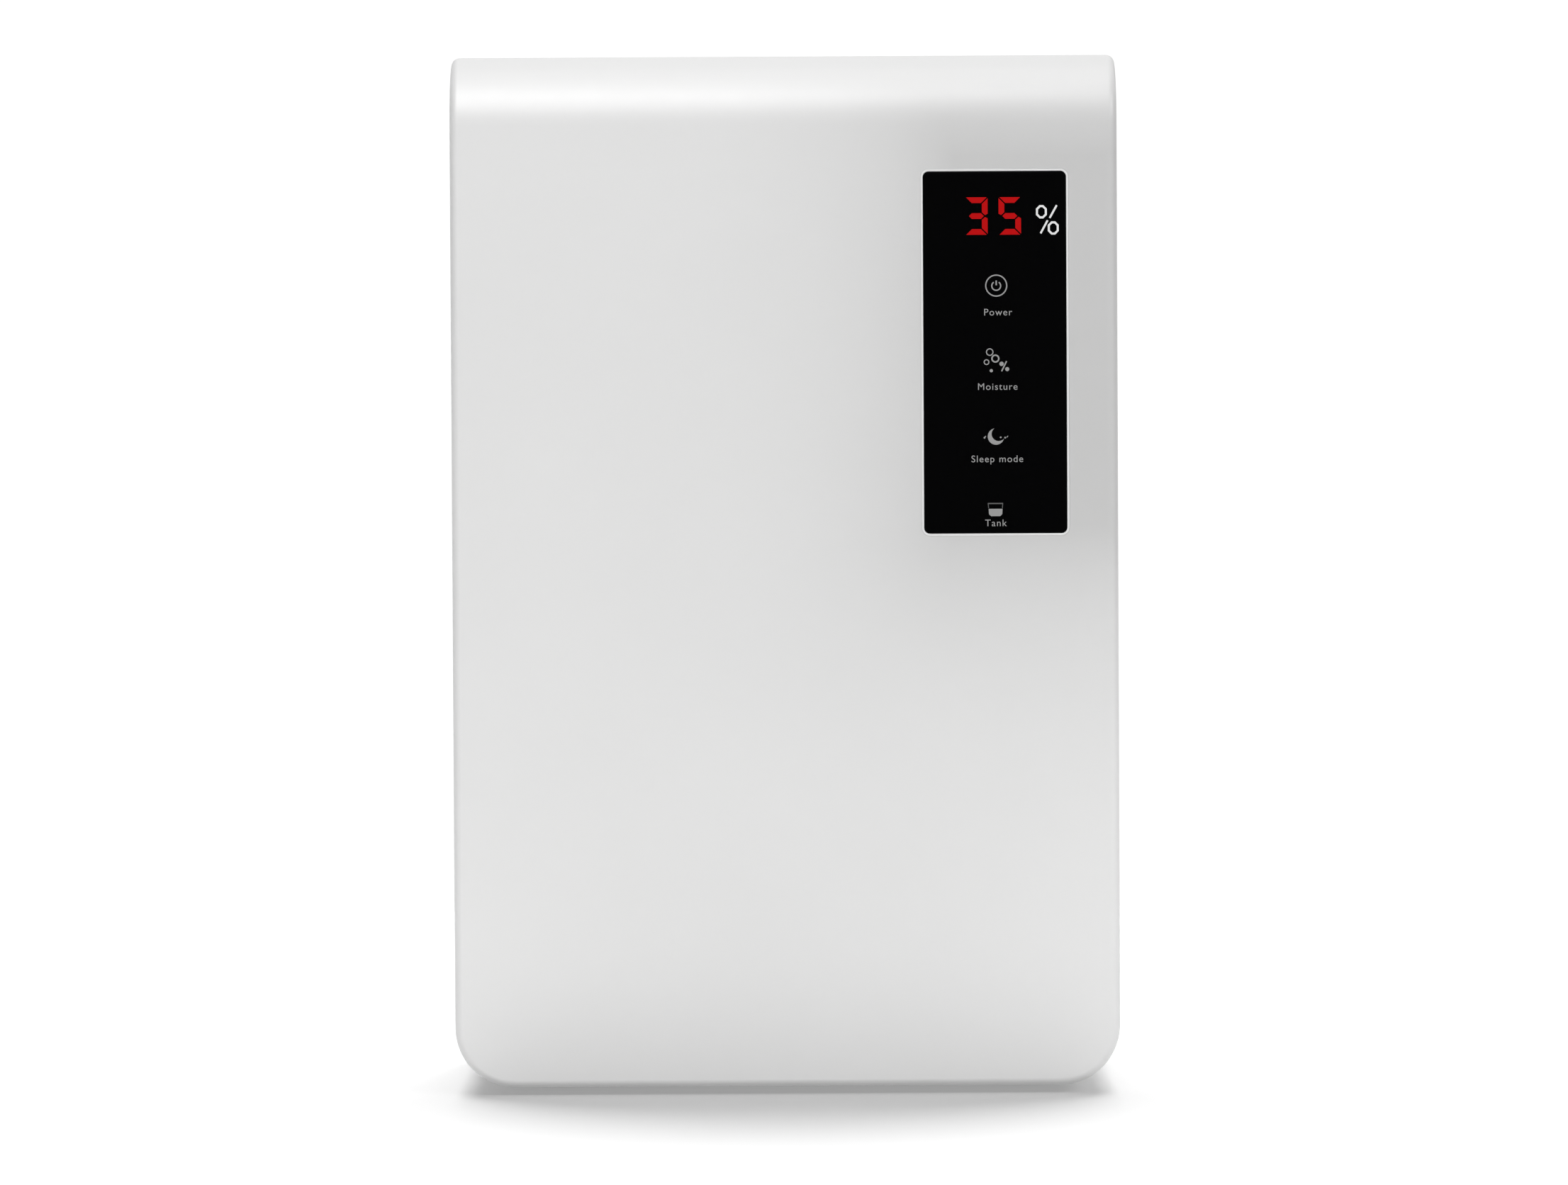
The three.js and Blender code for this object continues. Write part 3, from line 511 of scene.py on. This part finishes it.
def inlet_grille():
    """The inlet on the back: a frame on two pins, with two columns of tilted slats."""
    low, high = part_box("intake_grille")
    pin_reach = 2.6 * MM
    left, right = low.x + pin_reach, high.x - pin_reach
    plate_low, plate_high = Vector((left, low.y, low.z)), Vector((right, high.y, high.z))
    border = 8 * MM
    shapes = [ring_plate(plate_low, plate_high, Y, 3 * MM, border)]
    middle_y = (low.y + high.y) / 2
    shapes.append(block((-3 * MM, low.y + 0.2 * MM, low.z + 4 * MM),
                        (3 * MM, high.y - 0.2 * MM, high.z - 4 * MM)))
    pin_z = low.z + (high.y - low.y) / 2
    shapes.append(rod(1.2 * MM, (low.x, middle_y, pin_z), high.x - low.x, X, 16))
    tilt = Matrix.Rotation(math.radians(-25), 3, "X")
    rows = 15
    pitch = (high.z - low.z - 2 * border) / (rows - 1)
    for i in range(rows):
        z = low.z + border + i * pitch
        slat = block((left + border / 2, middle_y - 1.6 * MM, z - 1.5 * MM),
                     (right - border / 2, middle_y + 1.6 * MM, z + 1.5 * MM))
        round_edges(slat, edges_along(slat, X), 0.9 * MM, 3)
        bmesh.ops.rotate(slat, verts=slat.verts, cent=(0, middle_y, z), matrix=tilt)
        shapes.append(slat)
    return gather(*shapes)


make("inlet_grille", inlet_grille(), white_shell, "intake_grille", ["intake_grille"],
     soften=0.4 * MM)


def filter_screen():
    """A woven screen in a slim frame with one rib."""
    low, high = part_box("air_filter")
    middle_y = (low.y + high.y) / 2
    shapes = [ring_plate(low, high, Y, 2 * MM, 4 * MM)]
    shapes.append(block((-1.5 * MM, low.y + 0.3 * MM, low.z + 2 * MM),
                        (1.5 * MM, high.y - 0.3 * MM, high.z - 2 * MM)))
    screen = bmesh.new()
    bmesh.ops.create_grid(screen, x_segments=54, y_segments=40, size=0.5)
    bmesh.ops.scale(screen, verts=screen.verts, vec=(high.x - low.x - 6 * MM, high.z - low.z - 6 * MM, 1))
    bmesh.ops.wireframe(screen, faces=screen.faces, thickness=0.7 * MM, use_replace=True,
                        use_even_offset=True)
    upright = Matrix.Rotation(math.pi / 2, 3, "X")
    bmesh.ops.rotate(screen, verts=screen.verts, cent=(0, 0, 0), matrix=upright)
    middle = ((low.x + high.x) / 2, middle_y, (low.z + high.z) / 2)
    bmesh.ops.translate(screen, verts=screen.verts, vec=middle)
    shapes.append(screen)
    return gather(*shapes)


make("filter_screen", filter_screen(), dark_plastic, "intake_grille", ["air_filter"])


def rubber_foot(node):
    low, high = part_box(node)
    radius = (high.x - low.x) / 2
    tall = high.z - low.z
    profile = [(0, 0.3 * MM), (radius - 2.4 * MM, 0.3 * MM), (radius - 1.8 * MM, 0), (radius - 0.9 * MM, 0),
               (radius - 0.2 * MM, 0.4 * MM), (radius, 1 * MM), (radius, tall), (0, tall)]
    return turned(profile, ((low.x + high.x) / 2, (low.y + high.y) / 2, low.z))


for number in range(1, 5):
    node = f"foot_{number}"
    make(f"rubber_{node}", rubber_foot(node), black_rubber, "housing", [node])

# ---------- display ----------
def bezel():
    low, high = grown(glass_low, glass_high, (RIM, 0, RIM))
    low.y, high.y = display_low.y, display_high.y
    inner_low, inner_high = grown(glass_low, glass_high, (GLASS_SEAM, 0.02, GLASS_SEAM))
    return cut(slab(low, high, Y, RIM_CORNER), slab(inner_low, inner_high, Y, GLASS_CORNER))


make("display_rim", bezel(), white_shell, "housing", ["display_bezel"], soften=0.12 * MM)
make("touch_glass", slab(glass_low, glass_high, Y, GLASS_CORNER), black_glass, "housing",
     ["display_glass"], soften=0.2 * MM)

centre = (glass_low + glass_high) / 2
MARK_LIFT = 0.05 * MM


class Marks:
    """Lit marks on the glass, in millimetres right of and above its middle."""

    def __init__(self):
        self.bm = bmesh.new()

    def at(self, u, v):
        return Vector((centre.x + u * MM, glass_low.y - MARK_LIFT, centre.z + v * MM))

    def polygon(self, points):
        self.bm.faces.new([self.bm.verts.new(self.at(u, v)) for u, v in points])

    def disc(self, u, v, radius):
        turn = Matrix.Translation(self.at(u, v)) @ Matrix.Rotation(math.pi / 2, 4, "X")
        bmesh.ops.create_circle(self.bm, cap_ends=True, segments=24, radius=radius * MM, matrix=turn)

    def arc(self, u, v, radius, stroke, start=0, end=360):
        """A ring, or the part of it from one angle to another, anticlockwise from the right."""
        sides = (radius - stroke / 2, radius + stroke / 2)
        first = [self.bm.verts.new(self.at(u + side, v)) for side in sides]
        edge = self.bm.edges.new(first)
        about = self.at(u, v)
        turn = Matrix.Rotation(-math.radians(start), 3, "Y")
        bmesh.ops.rotate(self.bm, verts=first, cent=about, matrix=turn)
        bmesh.ops.spin(self.bm, geom=[*first, edge], cent=about, axis=(0, -1, 0),
                       angle=math.radians(end - start), steps=36)

    def zero(self, u, v, wide, tall, stroke, chamfer):
        """An upright 0 with cut corners."""
        rings = []
        for inset in (0, stroke):
            a, b, c = wide / 2 - inset, tall / 2 - inset, chamfer - inset * 0.6
            corners = [(a - c, b), (a, b - c), (a, c - b), (a - c, -b),
                       (c - a, -b), (-a, c - b), (-a, b - c), (c - a, b)]
            rings.append([(u + du, v + dv) for du, dv in corners])
        outer, inner = rings
        for i in range(8):
            j = (i + 1) % 8
            self.polygon([outer[i], outer[j], inner[j], inner[i]])

    def stroke(self, start, end, width):
        a, b = Vector(start), Vector(end)
        side = (b - a).orthogonal().normalized() * width / 2
        self.polygon([a + side, b + side, b - side, a - side])

    def crescent(self, u, v, radius, bite, shift, tilt, steps=20):
        """A moon: an outer arc, and an inner arc about a centre that is shifted towards the opening."""
        reach = math.acos((radius ** 2 + shift ** 2 - bite ** 2) / (2 * radius * shift))
        inner = math.acos((bite ** 2 + shift ** 2 - radius ** 2) / (2 * bite * shift))
        points = []
        for i in range(steps + 1):
            angle = tilt + reach + (2 * math.pi - 2 * reach) * i / steps
            points.append((u + radius * math.cos(angle), v + radius * math.sin(angle)))
        cu, cv = u + shift * math.cos(tilt), v + shift * math.sin(tilt)
        for i in range(1, steps):
            angle = tilt - (math.pi - inner) - 2 * inner * i / steps
            points.append((cu + bite * math.cos(angle), cv + bite * math.sin(angle)))
        self.polygon(points)

    def word(self, text, u, v, height):
        curve = bpy.data.curves.new("word", "FONT")
        curve.body = text
        curve.align_x = "CENTER"
        curve.align_y = "CENTER"
        curve.space_character = 1.15
        curve.size = height * MM / 0.7
        holder = bpy.data.objects.new("word", curve)
        bpy.context.scene.collection.objects.link(holder)
        mesh = bpy.data.meshes.new_from_object(holder)
        mesh.transform(Matrix.Translation(self.at(u, v)) @ Matrix.Rotation(math.pi / 2, 4, "X"))
        self.bm.from_mesh(mesh)
        bpy.data.objects.remove(holder)
        bpy.data.curves.remove(curve)
        bpy.data.meshes.remove(mesh)

    def finish(self, name, material):
        bmesh.ops.remove_doubles(self.bm, verts=self.bm.verts, dist=MERGE)
        made = bmesh.ops.extrude_face_region(self.bm, geom=self.bm.faces[:])
        moved = [item for item in made["geom"] if isinstance(item, bmesh.types.BMVert)]
        bmesh.ops.translate(self.bm, verts=moved, vec=(0, MARK_LIFT * 0.9, 0))
        bmesh.ops.recalc_face_normals(self.bm, faces=self.bm.faces)
        piece = make(name, self.bm, material, "housing")
        piece.modifiers.clear()
        return piece


DIGIT = {"3": "abcdg", "5": "acdfg"}


def seven_segments(marks, digit, left, bottom, wide=7.6, tall=12.7, thick=1.95, space=0.3):
    half = tall / 2
    upper_right = [(wide, tall - space), (wide, half + thick * 0.4), (wide - thick * 0.45, half + space),
                   (wide - thick, half + thick / 2 + space), (wide - thick, tall - thick - space)]
    shapes = {
        "a": [(space, tall), (wide - space, tall), (wide - thick - space, tall - thick),
              (thick + space, tall - thick)],
        "g": [(thick / 2 + space, half), (thick + space, half + thick / 2),
              (wide - thick - space, half + thick / 2), (wide - thick / 2 - space, half),
              (wide - thick - space, half - thick / 2), (thick + space, half - thick / 2)],
        "b": upper_right}
    shapes["d"] = [(u, tall - v) for u, v in shapes["a"]]
    shapes["c"] = [(u, tall - v) for u, v in upper_right]
    shapes["f"] = [(wide - u, v) for u, v in upper_right]
    for name in DIGIT[digit]:
        marks.polygon([(left + u, bottom + v) for u, v in shapes[name]])


digits = Marks()
seven_segments(digits, "3", -9.9, 39.8)
seven_segments(digits, "5", 1.4, 39.8)
digits.finish("lit_digits", red_light)

percent = Marks()
for u, v in ((15.9, 47.5), (19.9, 42.0)):
    percent.zero(u, v, 3.7, 4.5, 0.7, 1.2)
percent.stroke((18.7, 45.4), (21.1, 49.7), 0.65)
percent.stroke((15.6, 40.2), (18.0, 44.6), 0.65)
percent.finish("lit_percent", white_light)

keys = Marks()
keys.arc(0.5, 22.6, 3.55, 0.42)
keys.arc(0.5, 22.5, 1.5, 0.42, start=125, end=415)
keys.stroke((0.5, 22.7), (0.5, 24.3), 0.5)
keys.word("Power", 1.0, 13.5, 2.3)
keys.arc(-1.8, 0.1, 1.1, 0.35)
keys.arc(0.1, -2.1, 1.15, 0.5)
keys.arc(-2.9, -3.3, 0.8, 0.35)
keys.disc(-1.3, -6.2, 0.55)
keys.disc(2.2, -3.9, 0.75)
keys.disc(4.1, -5.7, 0.7)
keys.stroke((2.2, -6.4), (3.9, -3.0), 0.45)
keys.word("Moisture", 0.8, -11.7, 2.3)
keys.crescent(0.2, -28.5, 2.8, 2.4, 1.25, math.radians(43))
keys.disc(-3.7, -28.9, 0.3)
keys.stroke((-3.7, -28.8), (-3.2, -28.3), 0.25)
keys.disc(1.8, -28.8, 0.3)
keys.disc(3.3, -28.9, 0.3)
keys.stroke((3.8, -28.8), (4.3, -28.3), 0.25)
keys.word("Sleep mode", 0.6, -36.2, 2.3)
keys.polygon([(-2.4, -53.0), (2.3, -53.0), (2.2, -54.8), (1.5, -55.5), (-1.6, -55.5), (-2.3, -54.8)])
keys.word("Tank", 0.0, -57.9, 2.3)
keys.finish("lit_keys", dim_light)

tank_mark = Marks()
tank_mark.stroke((-2.7, -51.2), (2.5, -51.2), 0.4)
tank_mark.stroke((-2.55, -51.2), (-2.4, -52.8), 0.25)
tank_mark.stroke((2.4, -51.2), (2.25, -52.8), 0.25)
tank_mark.finish("lit_tank_mark", faint_light)

# ---------- tank ----------
tank_low, tank_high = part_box("tank")
TANK_WALL = 2 * MM
TANK_CORNER = 5 * MM


def tank_body():
    """The open tank: a thin wall with rounded edges."""
    low, high = tank_low, tank_high
    outer = block(low, high)
    round_edges(outer, edges_along(outer, Y, lambda m: m.z < low.z + HAIR), TANK_CORNER, 8)
    round_edges(outer, edges_along(outer, Z), TANK_CORNER, 8)
    inner_low = low + Vector((TANK_WALL, TANK_WALL, TANK_WALL))
    inner_high = high + Vector((-TANK_WALL, -TANK_WALL, 0.02))
    inner = block(inner_low, inner_high)
    inner_corner = TANK_CORNER - TANK_WALL
    round_edges(inner, edges_along(inner, Y, lambda m: m.z < inner_low.z + HAIR), inner_corner, 8)
    round_edges(inner, edges_along(inner, Z), inner_corner, 8)
    return cut(outer, inner)


make("water_tank", tank_body(), smoky_tank, "tank", ["tank"], soften=0.5 * MM)


def lid():
    """The lid: a plate with a drip hole, a skirt that drops inside the tank, and the float's lugs."""
    low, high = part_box("tank_lid")
    plate_low = Vector((low.x, low.y, high.z - 2 * MM))
    plate = slab(plate_low, high, Z, 5 * MM)
    skirt_play = 2.5 * MM
    skirt_wall = 1.6 * MM
    skirt_low = Vector((tank_low.x + skirt_play, tank_low.y + skirt_play, high.z - 7 * MM))
    skirt_high = Vector((tank_high.x - skirt_play, tank_high.y - skirt_play, high.z - 1 * MM))
    skirt = ring_plate(skirt_low, skirt_high, Z, 3 * MM, skirt_wall)
    spout_low, spout_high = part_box("drip_tray")
    spout_y = (spout_low.y + spout_high.y) / 2
    hole_half_wide, hole_half_deep = 16 * MM, 9 * MM
    hole = slab((-hole_half_wide, spout_y - hole_half_deep, plate_low.z - PAST),
                (hole_half_wide, spout_y + hole_half_deep, high.z + PAST), Z, 4 * MM)
    arm_low, arm_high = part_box("float_arm")
    lugs = []
    lug_wide = 3 * MM
    for x in (arm_low.x - 0.4 * MM, arm_high.x - 2.6 * MM):
        lug = block((x, -12 * MM, low.z), (x + lug_wide, -2 * MM, high.z - 1 * MM))
        lugs.append(round_edges(lug, edges_along(lug, X, lambda m: m.z < low.z + HAIR), 4 * MM, 5))
    whole = combine(cut(plate, hole), "UNION", skirt)
    return gather(whole, *lugs)


make("tank_cover", lid(), grey_plastic, "tank", ["tank_lid"], soften=0.4 * MM)


def face():
    """The tank's white face, with the handle's recess behind it."""
    low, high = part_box("tank_face")
    thick = 3.2 * MM
    lower_corner, upper_corner = 12 * MM, 2 * MM
    plate = block((low.x, high.y - thick, low.z), (high.x, high.y, high.z))
    round_edges(plate, edges_along(plate, Y, lambda m: m.z < low.z + HAIR), lower_corner, 10)
    round_edges(plate, edges_along(plate, Y, lambda m: m.z > high.z - HAIR), upper_corner, 4)
    handle_low, handle_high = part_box("tank_handle")
    half = 43.2 * MM
    wall = 2.5 * MM
    finger_room = 15.5 * MM
    pocket_low = Vector((-half, low.y + wall, handle_low.z - finger_room))
    pocket_high = Vector((half, high.y + PAST, handle_high.z + 1.3 * MM))
    back_low, back_high = grown(pocket_low, pocket_high, (wall, wall, wall))
    back_high.y = high.y - 1 * MM
    tray = combine(plate, "UNION", slab(back_low, back_high, Y, 6 * MM))
    return cut(tray, slab(pocket_low, pocket_high, Y, 4 * MM))


make("tank_front", face(), white_shell, "tank", ["tank_face"], soften=0.6 * MM)


def handle():
    """The flat handle with its grip opening and a pin at each end."""
    low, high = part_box("tank_handle")
    pin_reach = 1.8 * MM
    bar_low = Vector((low.x + pin_reach, low.y, low.z))
    bar_high = Vector((high.x - pin_reach, high.y, high.z))
    bar = block(bar_low, bar_high)
    round_edges(bar, edges_along(bar, Y, lambda m: m.z < low.z + HAIR), 8 * MM, 8)
    grip_half = 33 * MM
    opening = slab((-grip_half, low.y - PAST, low.z + 9 * MM),
                   (grip_half, high.y + PAST, high.z - 8 * MM), Y, 4 * MM)
    middle_y = (low.y + high.y) / 2
    pin_z = high.z - 3.7 * MM
    pin_radius, pin_long = 1.5 * MM, 8 * MM
    pins = [rod(pin_radius, (x, middle_y, pin_z), pin_long, X, 20) for x in (low.x, high.x - pin_long)]
    return combine(cut(bar, opening), "UNION", *pins)


make("fold_out_handle", handle(), grey_plastic, "tank_handle", ["tank_handle"],
     soften=0.9 * MM)

# ---------- fan ----------
rotor_low, rotor_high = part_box("fan_rotor")
BLADES = 7
BLADE_ROOT = 17.8 * MM
BLADE_TIP = 41.8 * MM
BLADE_THICK = 1.3 * MM


def blade(root, tip, base_z, top_z, thick):
    """One twisted blade: a curved strip from hub to tip, steeper at the hub."""
    bm = bmesh.new()
    bmesh.ops.create_grid(bm, x_segments=8, y_segments=8, size=0.5)
    middle_z = (base_z + top_z) / 2
    for vert in bm.verts:
        along, across = vert.co.x + 0.5, vert.co.y
        radius = root + (tip - root) * along
        pitch = math.radians(48 - 20 * along)
        chord = (20 + 14 * along) * MM
        sweep = 0.35 * along + across * chord * math.cos(pitch) / radius
        lift = -across * chord * math.sin(pitch) + 0.0015 * math.cos(math.pi * across)
        vert.co = (radius * math.cos(sweep), radius * math.sin(sweep), middle_z + lift)
    bmesh.ops.recalc_face_normals(bm, faces=bm.faces)
    bmesh.ops.solidify(bm, geom=bm.faces, thickness=thick)
    return bm


def rotor():
    """The hub cup and its blades."""
    radius = 19 * MM
    wall = 2.4 * MM
    top = rotor_high.z
    deep = 20 * MM
    inner = radius - wall
    profile = [(0, -wall), (inner, -wall), (inner, -deep), (radius, -deep), (radius, -2 * MM),
               (radius - 0.6 * MM, -0.7 * MM), (radius - 2 * MM, 0), (0, 0)]
    cup = turned(profile, (0, 0, top), steps=48)
    shapes = [cup]
    for i in range(BLADES):
        one = blade(BLADE_ROOT, BLADE_TIP, rotor_low.z, rotor_high.z, BLADE_THICK)
        turn = Matrix.Rotation(i * math.tau / BLADES, 3, "Z")
        bmesh.ops.rotate(one, verts=one.verts, cent=(0, 0, 0), matrix=turn)
        shapes.append(one)
    return gather(*shapes)


make("fan_blades", rotor(), fan_plastic, "fan_rotor", ["fan_rotor"])


# ---------- power inlet ----------
def inlet():
    """The power socket: a square body and a round collar."""
    low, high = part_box("dc_jack")
    x, z = (low.x + high.x) / 2, (low.z + high.z) / 2
    reach = high.y - low.y
    body = block((low.x, low.y, low.z), (high.x, low.y + 11 * MM, high.z))
    round_edges(body, body.edges[:], 0.5 * MM, 2)
    bore, rim = 3.2 * MM, 4.1 * MM
    profile = [(bore, 6 * MM), (rim, 6 * MM), (rim, reach - 0.5 * MM), (3.7 * MM, reach),
               (3.4 * MM, reach), (bore, reach - 0.3 * MM), (bore, 6 * MM)]
    return gather(body, turned(profile, (x, low.y, z), Y))


make("power_socket", inlet(), dark_plastic, "housing", ["dc_jack"])
jack_low, jack_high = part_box("dc_jack")
PIN = 1 * MM
pin = turned([(0, 0), (PIN, 0), (PIN, 7.2 * MM), (PIN * 0.6, 8 * MM), (0, 8 * MM)],
             ((jack_low.x + jack_high.x) / 2, jack_low.y + 4 * MM, (jack_low.z + jack_high.z) / 2), Y)
make("socket_pin", pin, steel, "housing")

# ---------- finishes of the pieces that keep their own shape ----------
FINISHES = [
    (white_inner, ["base_plate", "float_arm", "drip_tray"]),
    (grey_plastic, ["inner_chassis", "air_divider", "fan_deck"]),
    (dark_plastic, ["light_mask", "digit_module", "level_sensor"]),
    (fan_plastic, ["fan_frame"]),
    (solder_mask, ["display_board", "main_board", "humidity_sensor"]),
    (aluminium, ["cold_sink", "hot_sink"]),
    (copper, ["fan_stator", "touch_spring_power", "touch_spring_humidity", "touch_spring_quiet"]),
    (steel, ["float_magnet", *[n for n in frame["nodes"] if "_screw_" in n]]),
    (ceramic, ["peltier_module"]),
    (foam, ["sink_gasket"]),
    (ribbon, ["display_cable"]),
    (red_wire, ["peltier_lead_red"]),
    (black_wire, ["peltier_lead_black", "power_lead", "fan_lead"]),
]
for material, nodes in FINISHES:
    for node in nodes:
        slots = frame["nodes"][node].data.materials
        slots.clear()
        slots.append(material)


# ---------- studio ----------
def area_light(name, place, target, size, power, tall=None, lit=None):
    """A softbox that faces a target, square unless tall is given, on everything unless lit is given."""
    light = bpy.data.lights.new(name, "AREA")
    light.shape = "RECTANGLE"
    light.size = size
    light.size_y = tall or size
    light.energy = power
    holder = bpy.data.objects.new(name, light)
    holder.location = place
    holder.rotation_euler = (Vector(target) - Vector(place)).to_track_quat("-Z", "Y").to_euler()
    bpy.context.scene.collection.objects.link(holder)
    holder.light_linking.receiver_collection = lit


def back_light(direction, spread, strength, receiver):
    """A wide light on the floor from above and behind, so that the soft shadow falls forwards."""
    light = bpy.data.lights.new("back_light", "SUN")
    light.angle = math.radians(spread)
    light.energy = strength
    holder = bpy.data.objects.new("back_light", light)
    holder.rotation_euler = Vector(direction).to_track_quat("-Z", "Y").to_euler()
    bpy.context.scene.collection.objects.link(holder)
    lit = bpy.data.collections.new("lit_by_back_light")
    lit.objects.link(receiver)
    holder.light_linking.receiver_collection = lit


def floor():
    """A round floor that glows faintly."""
    bm = bmesh.new()
    bmesh.ops.create_circle(bm, cap_ends=True, segments=64, radius=0.85)
    mesh = bpy.data.meshes.new("floor")
    bm.to_mesh(mesh)
    bm.free()
    piece = bpy.data.objects.new("floor", mesh)
    bpy.context.scene.collection.objects.link(piece)
    finish = Finish("floor_panel", (0.5, 0.5, 0.5), 0.9, Specular_IOR_Level=0.0, Emission_Strength=0.22)
    finish.shader.inputs["Emission Color"].default_value = (1, 1, 1, 1)
    mesh.materials.append(finish.material)
    return piece


def studio_world():
    """White where the camera looks past the object, softer and darker towards the front for the light."""
    world = bpy.data.worlds.new("studio")
    bpy.context.scene.world = world
    world.use_nodes = True
    nodes, links = world.node_tree.nodes, world.node_tree.links
    fill = nodes["Background"]
    seen = nodes.new("ShaderNodeBackground")
    seen.inputs["Color"].default_value = (1, 1, 1, 1)
    seen.inputs["Strength"].default_value = 1.05
    direction = nodes.new("ShaderNodeTexCoord")
    parts = nodes.new("ShaderNodeSeparateXYZ")
    links.new(direction.outputs["Generated"], parts.inputs["Vector"])
    reach = nodes.new("ShaderNodeMapRange")
    reach.inputs["From Min"].default_value = -0.1
    reach.inputs["From Max"].default_value = 0.8
    reach.inputs["To Min"].default_value = 0.01
    reach.inputs["To Max"].default_value = 0.8
    links.new(parts.outputs["Y"], reach.inputs["Value"])
    links.new(reach.outputs["Result"], fill.inputs["Strength"])
    fill.inputs["Color"].default_value = (1, 1, 1, 1)
    rays = nodes.new("ShaderNodeLightPath")
    mix = nodes.new("ShaderNodeMixShader")
    links.new(rays.outputs["Is Camera Ray"], mix.inputs["Fac"])
    links.new(fill.outputs["Background"], mix.inputs[1])
    links.new(seen.outputs["Background"], mix.inputs[2])
    links.new(mix.outputs["Shader"], nodes["World Output"].inputs["Surface"])


def camera():
    """Straight at the front from a little above level, through a long lens, a hair off plumb."""
    frame_width = 0.5315
    distance = 2.5
    raised = math.radians(1.5)
    aim = Vector((-0.0005, outer_low.y, 0.1705))
    data = bpy.data.cameras.new("camera")
    data.sensor_width = 36
    data.lens = 36 * distance / frame_width
    holder = bpy.data.objects.new("camera", data)
    holder.location = aim + Vector((0, -math.cos(raised), math.sin(raised))) * distance
    level = (aim - holder.location).to_track_quat("-Z", "Y").to_matrix().to_4x4()
    holder.rotation_euler = (level @ Matrix.Rotation(math.radians(-0.3), 4, "Z")).to_euler()
    bpy.context.scene.collection.objects.link(holder)
    bpy.context.scene.camera = holder


lit_by_front = bpy.data.collections.new("lit_by_front")
for piece in bpy.context.scene.objects:
    if piece.type == "MESH":
        lit_by_front.objects.link(piece)

camera()
ground = floor()
studio_world()
area_light("near_softbox", (-0.25, -0.75, 0.95), (0, 0, 0.25), 0.6, 4.3, lit=lit_by_front)
area_light("front_softbox", (-0.2, -1.3, 1.75), (0, 0, 0.2), 1.0, 6.2, lit=lit_by_front)
area_light("high_softbox", (-0.1, -0.9, 2.1), (0, 0, 0.2), 1.0, 6.3)
area_light("top_softbox", (0, -0.15, 2.2), (0, 0, 0.2), 1.2, 5.0)
area_light("low_softbox", (0, -0.22, 0.03), (0, 0, 0.03), 0.3, 0.035, 0.03, lit_by_front)
area_light("right_softbox", (1.5, -1.3, 1.3), (0, 0, 0.2), 0.9, 13.5)
back_light((0, -0.47, -0.88), 46, 6.1, ground)
bpy.context.scene.view_settings.view_transform = "Standard"
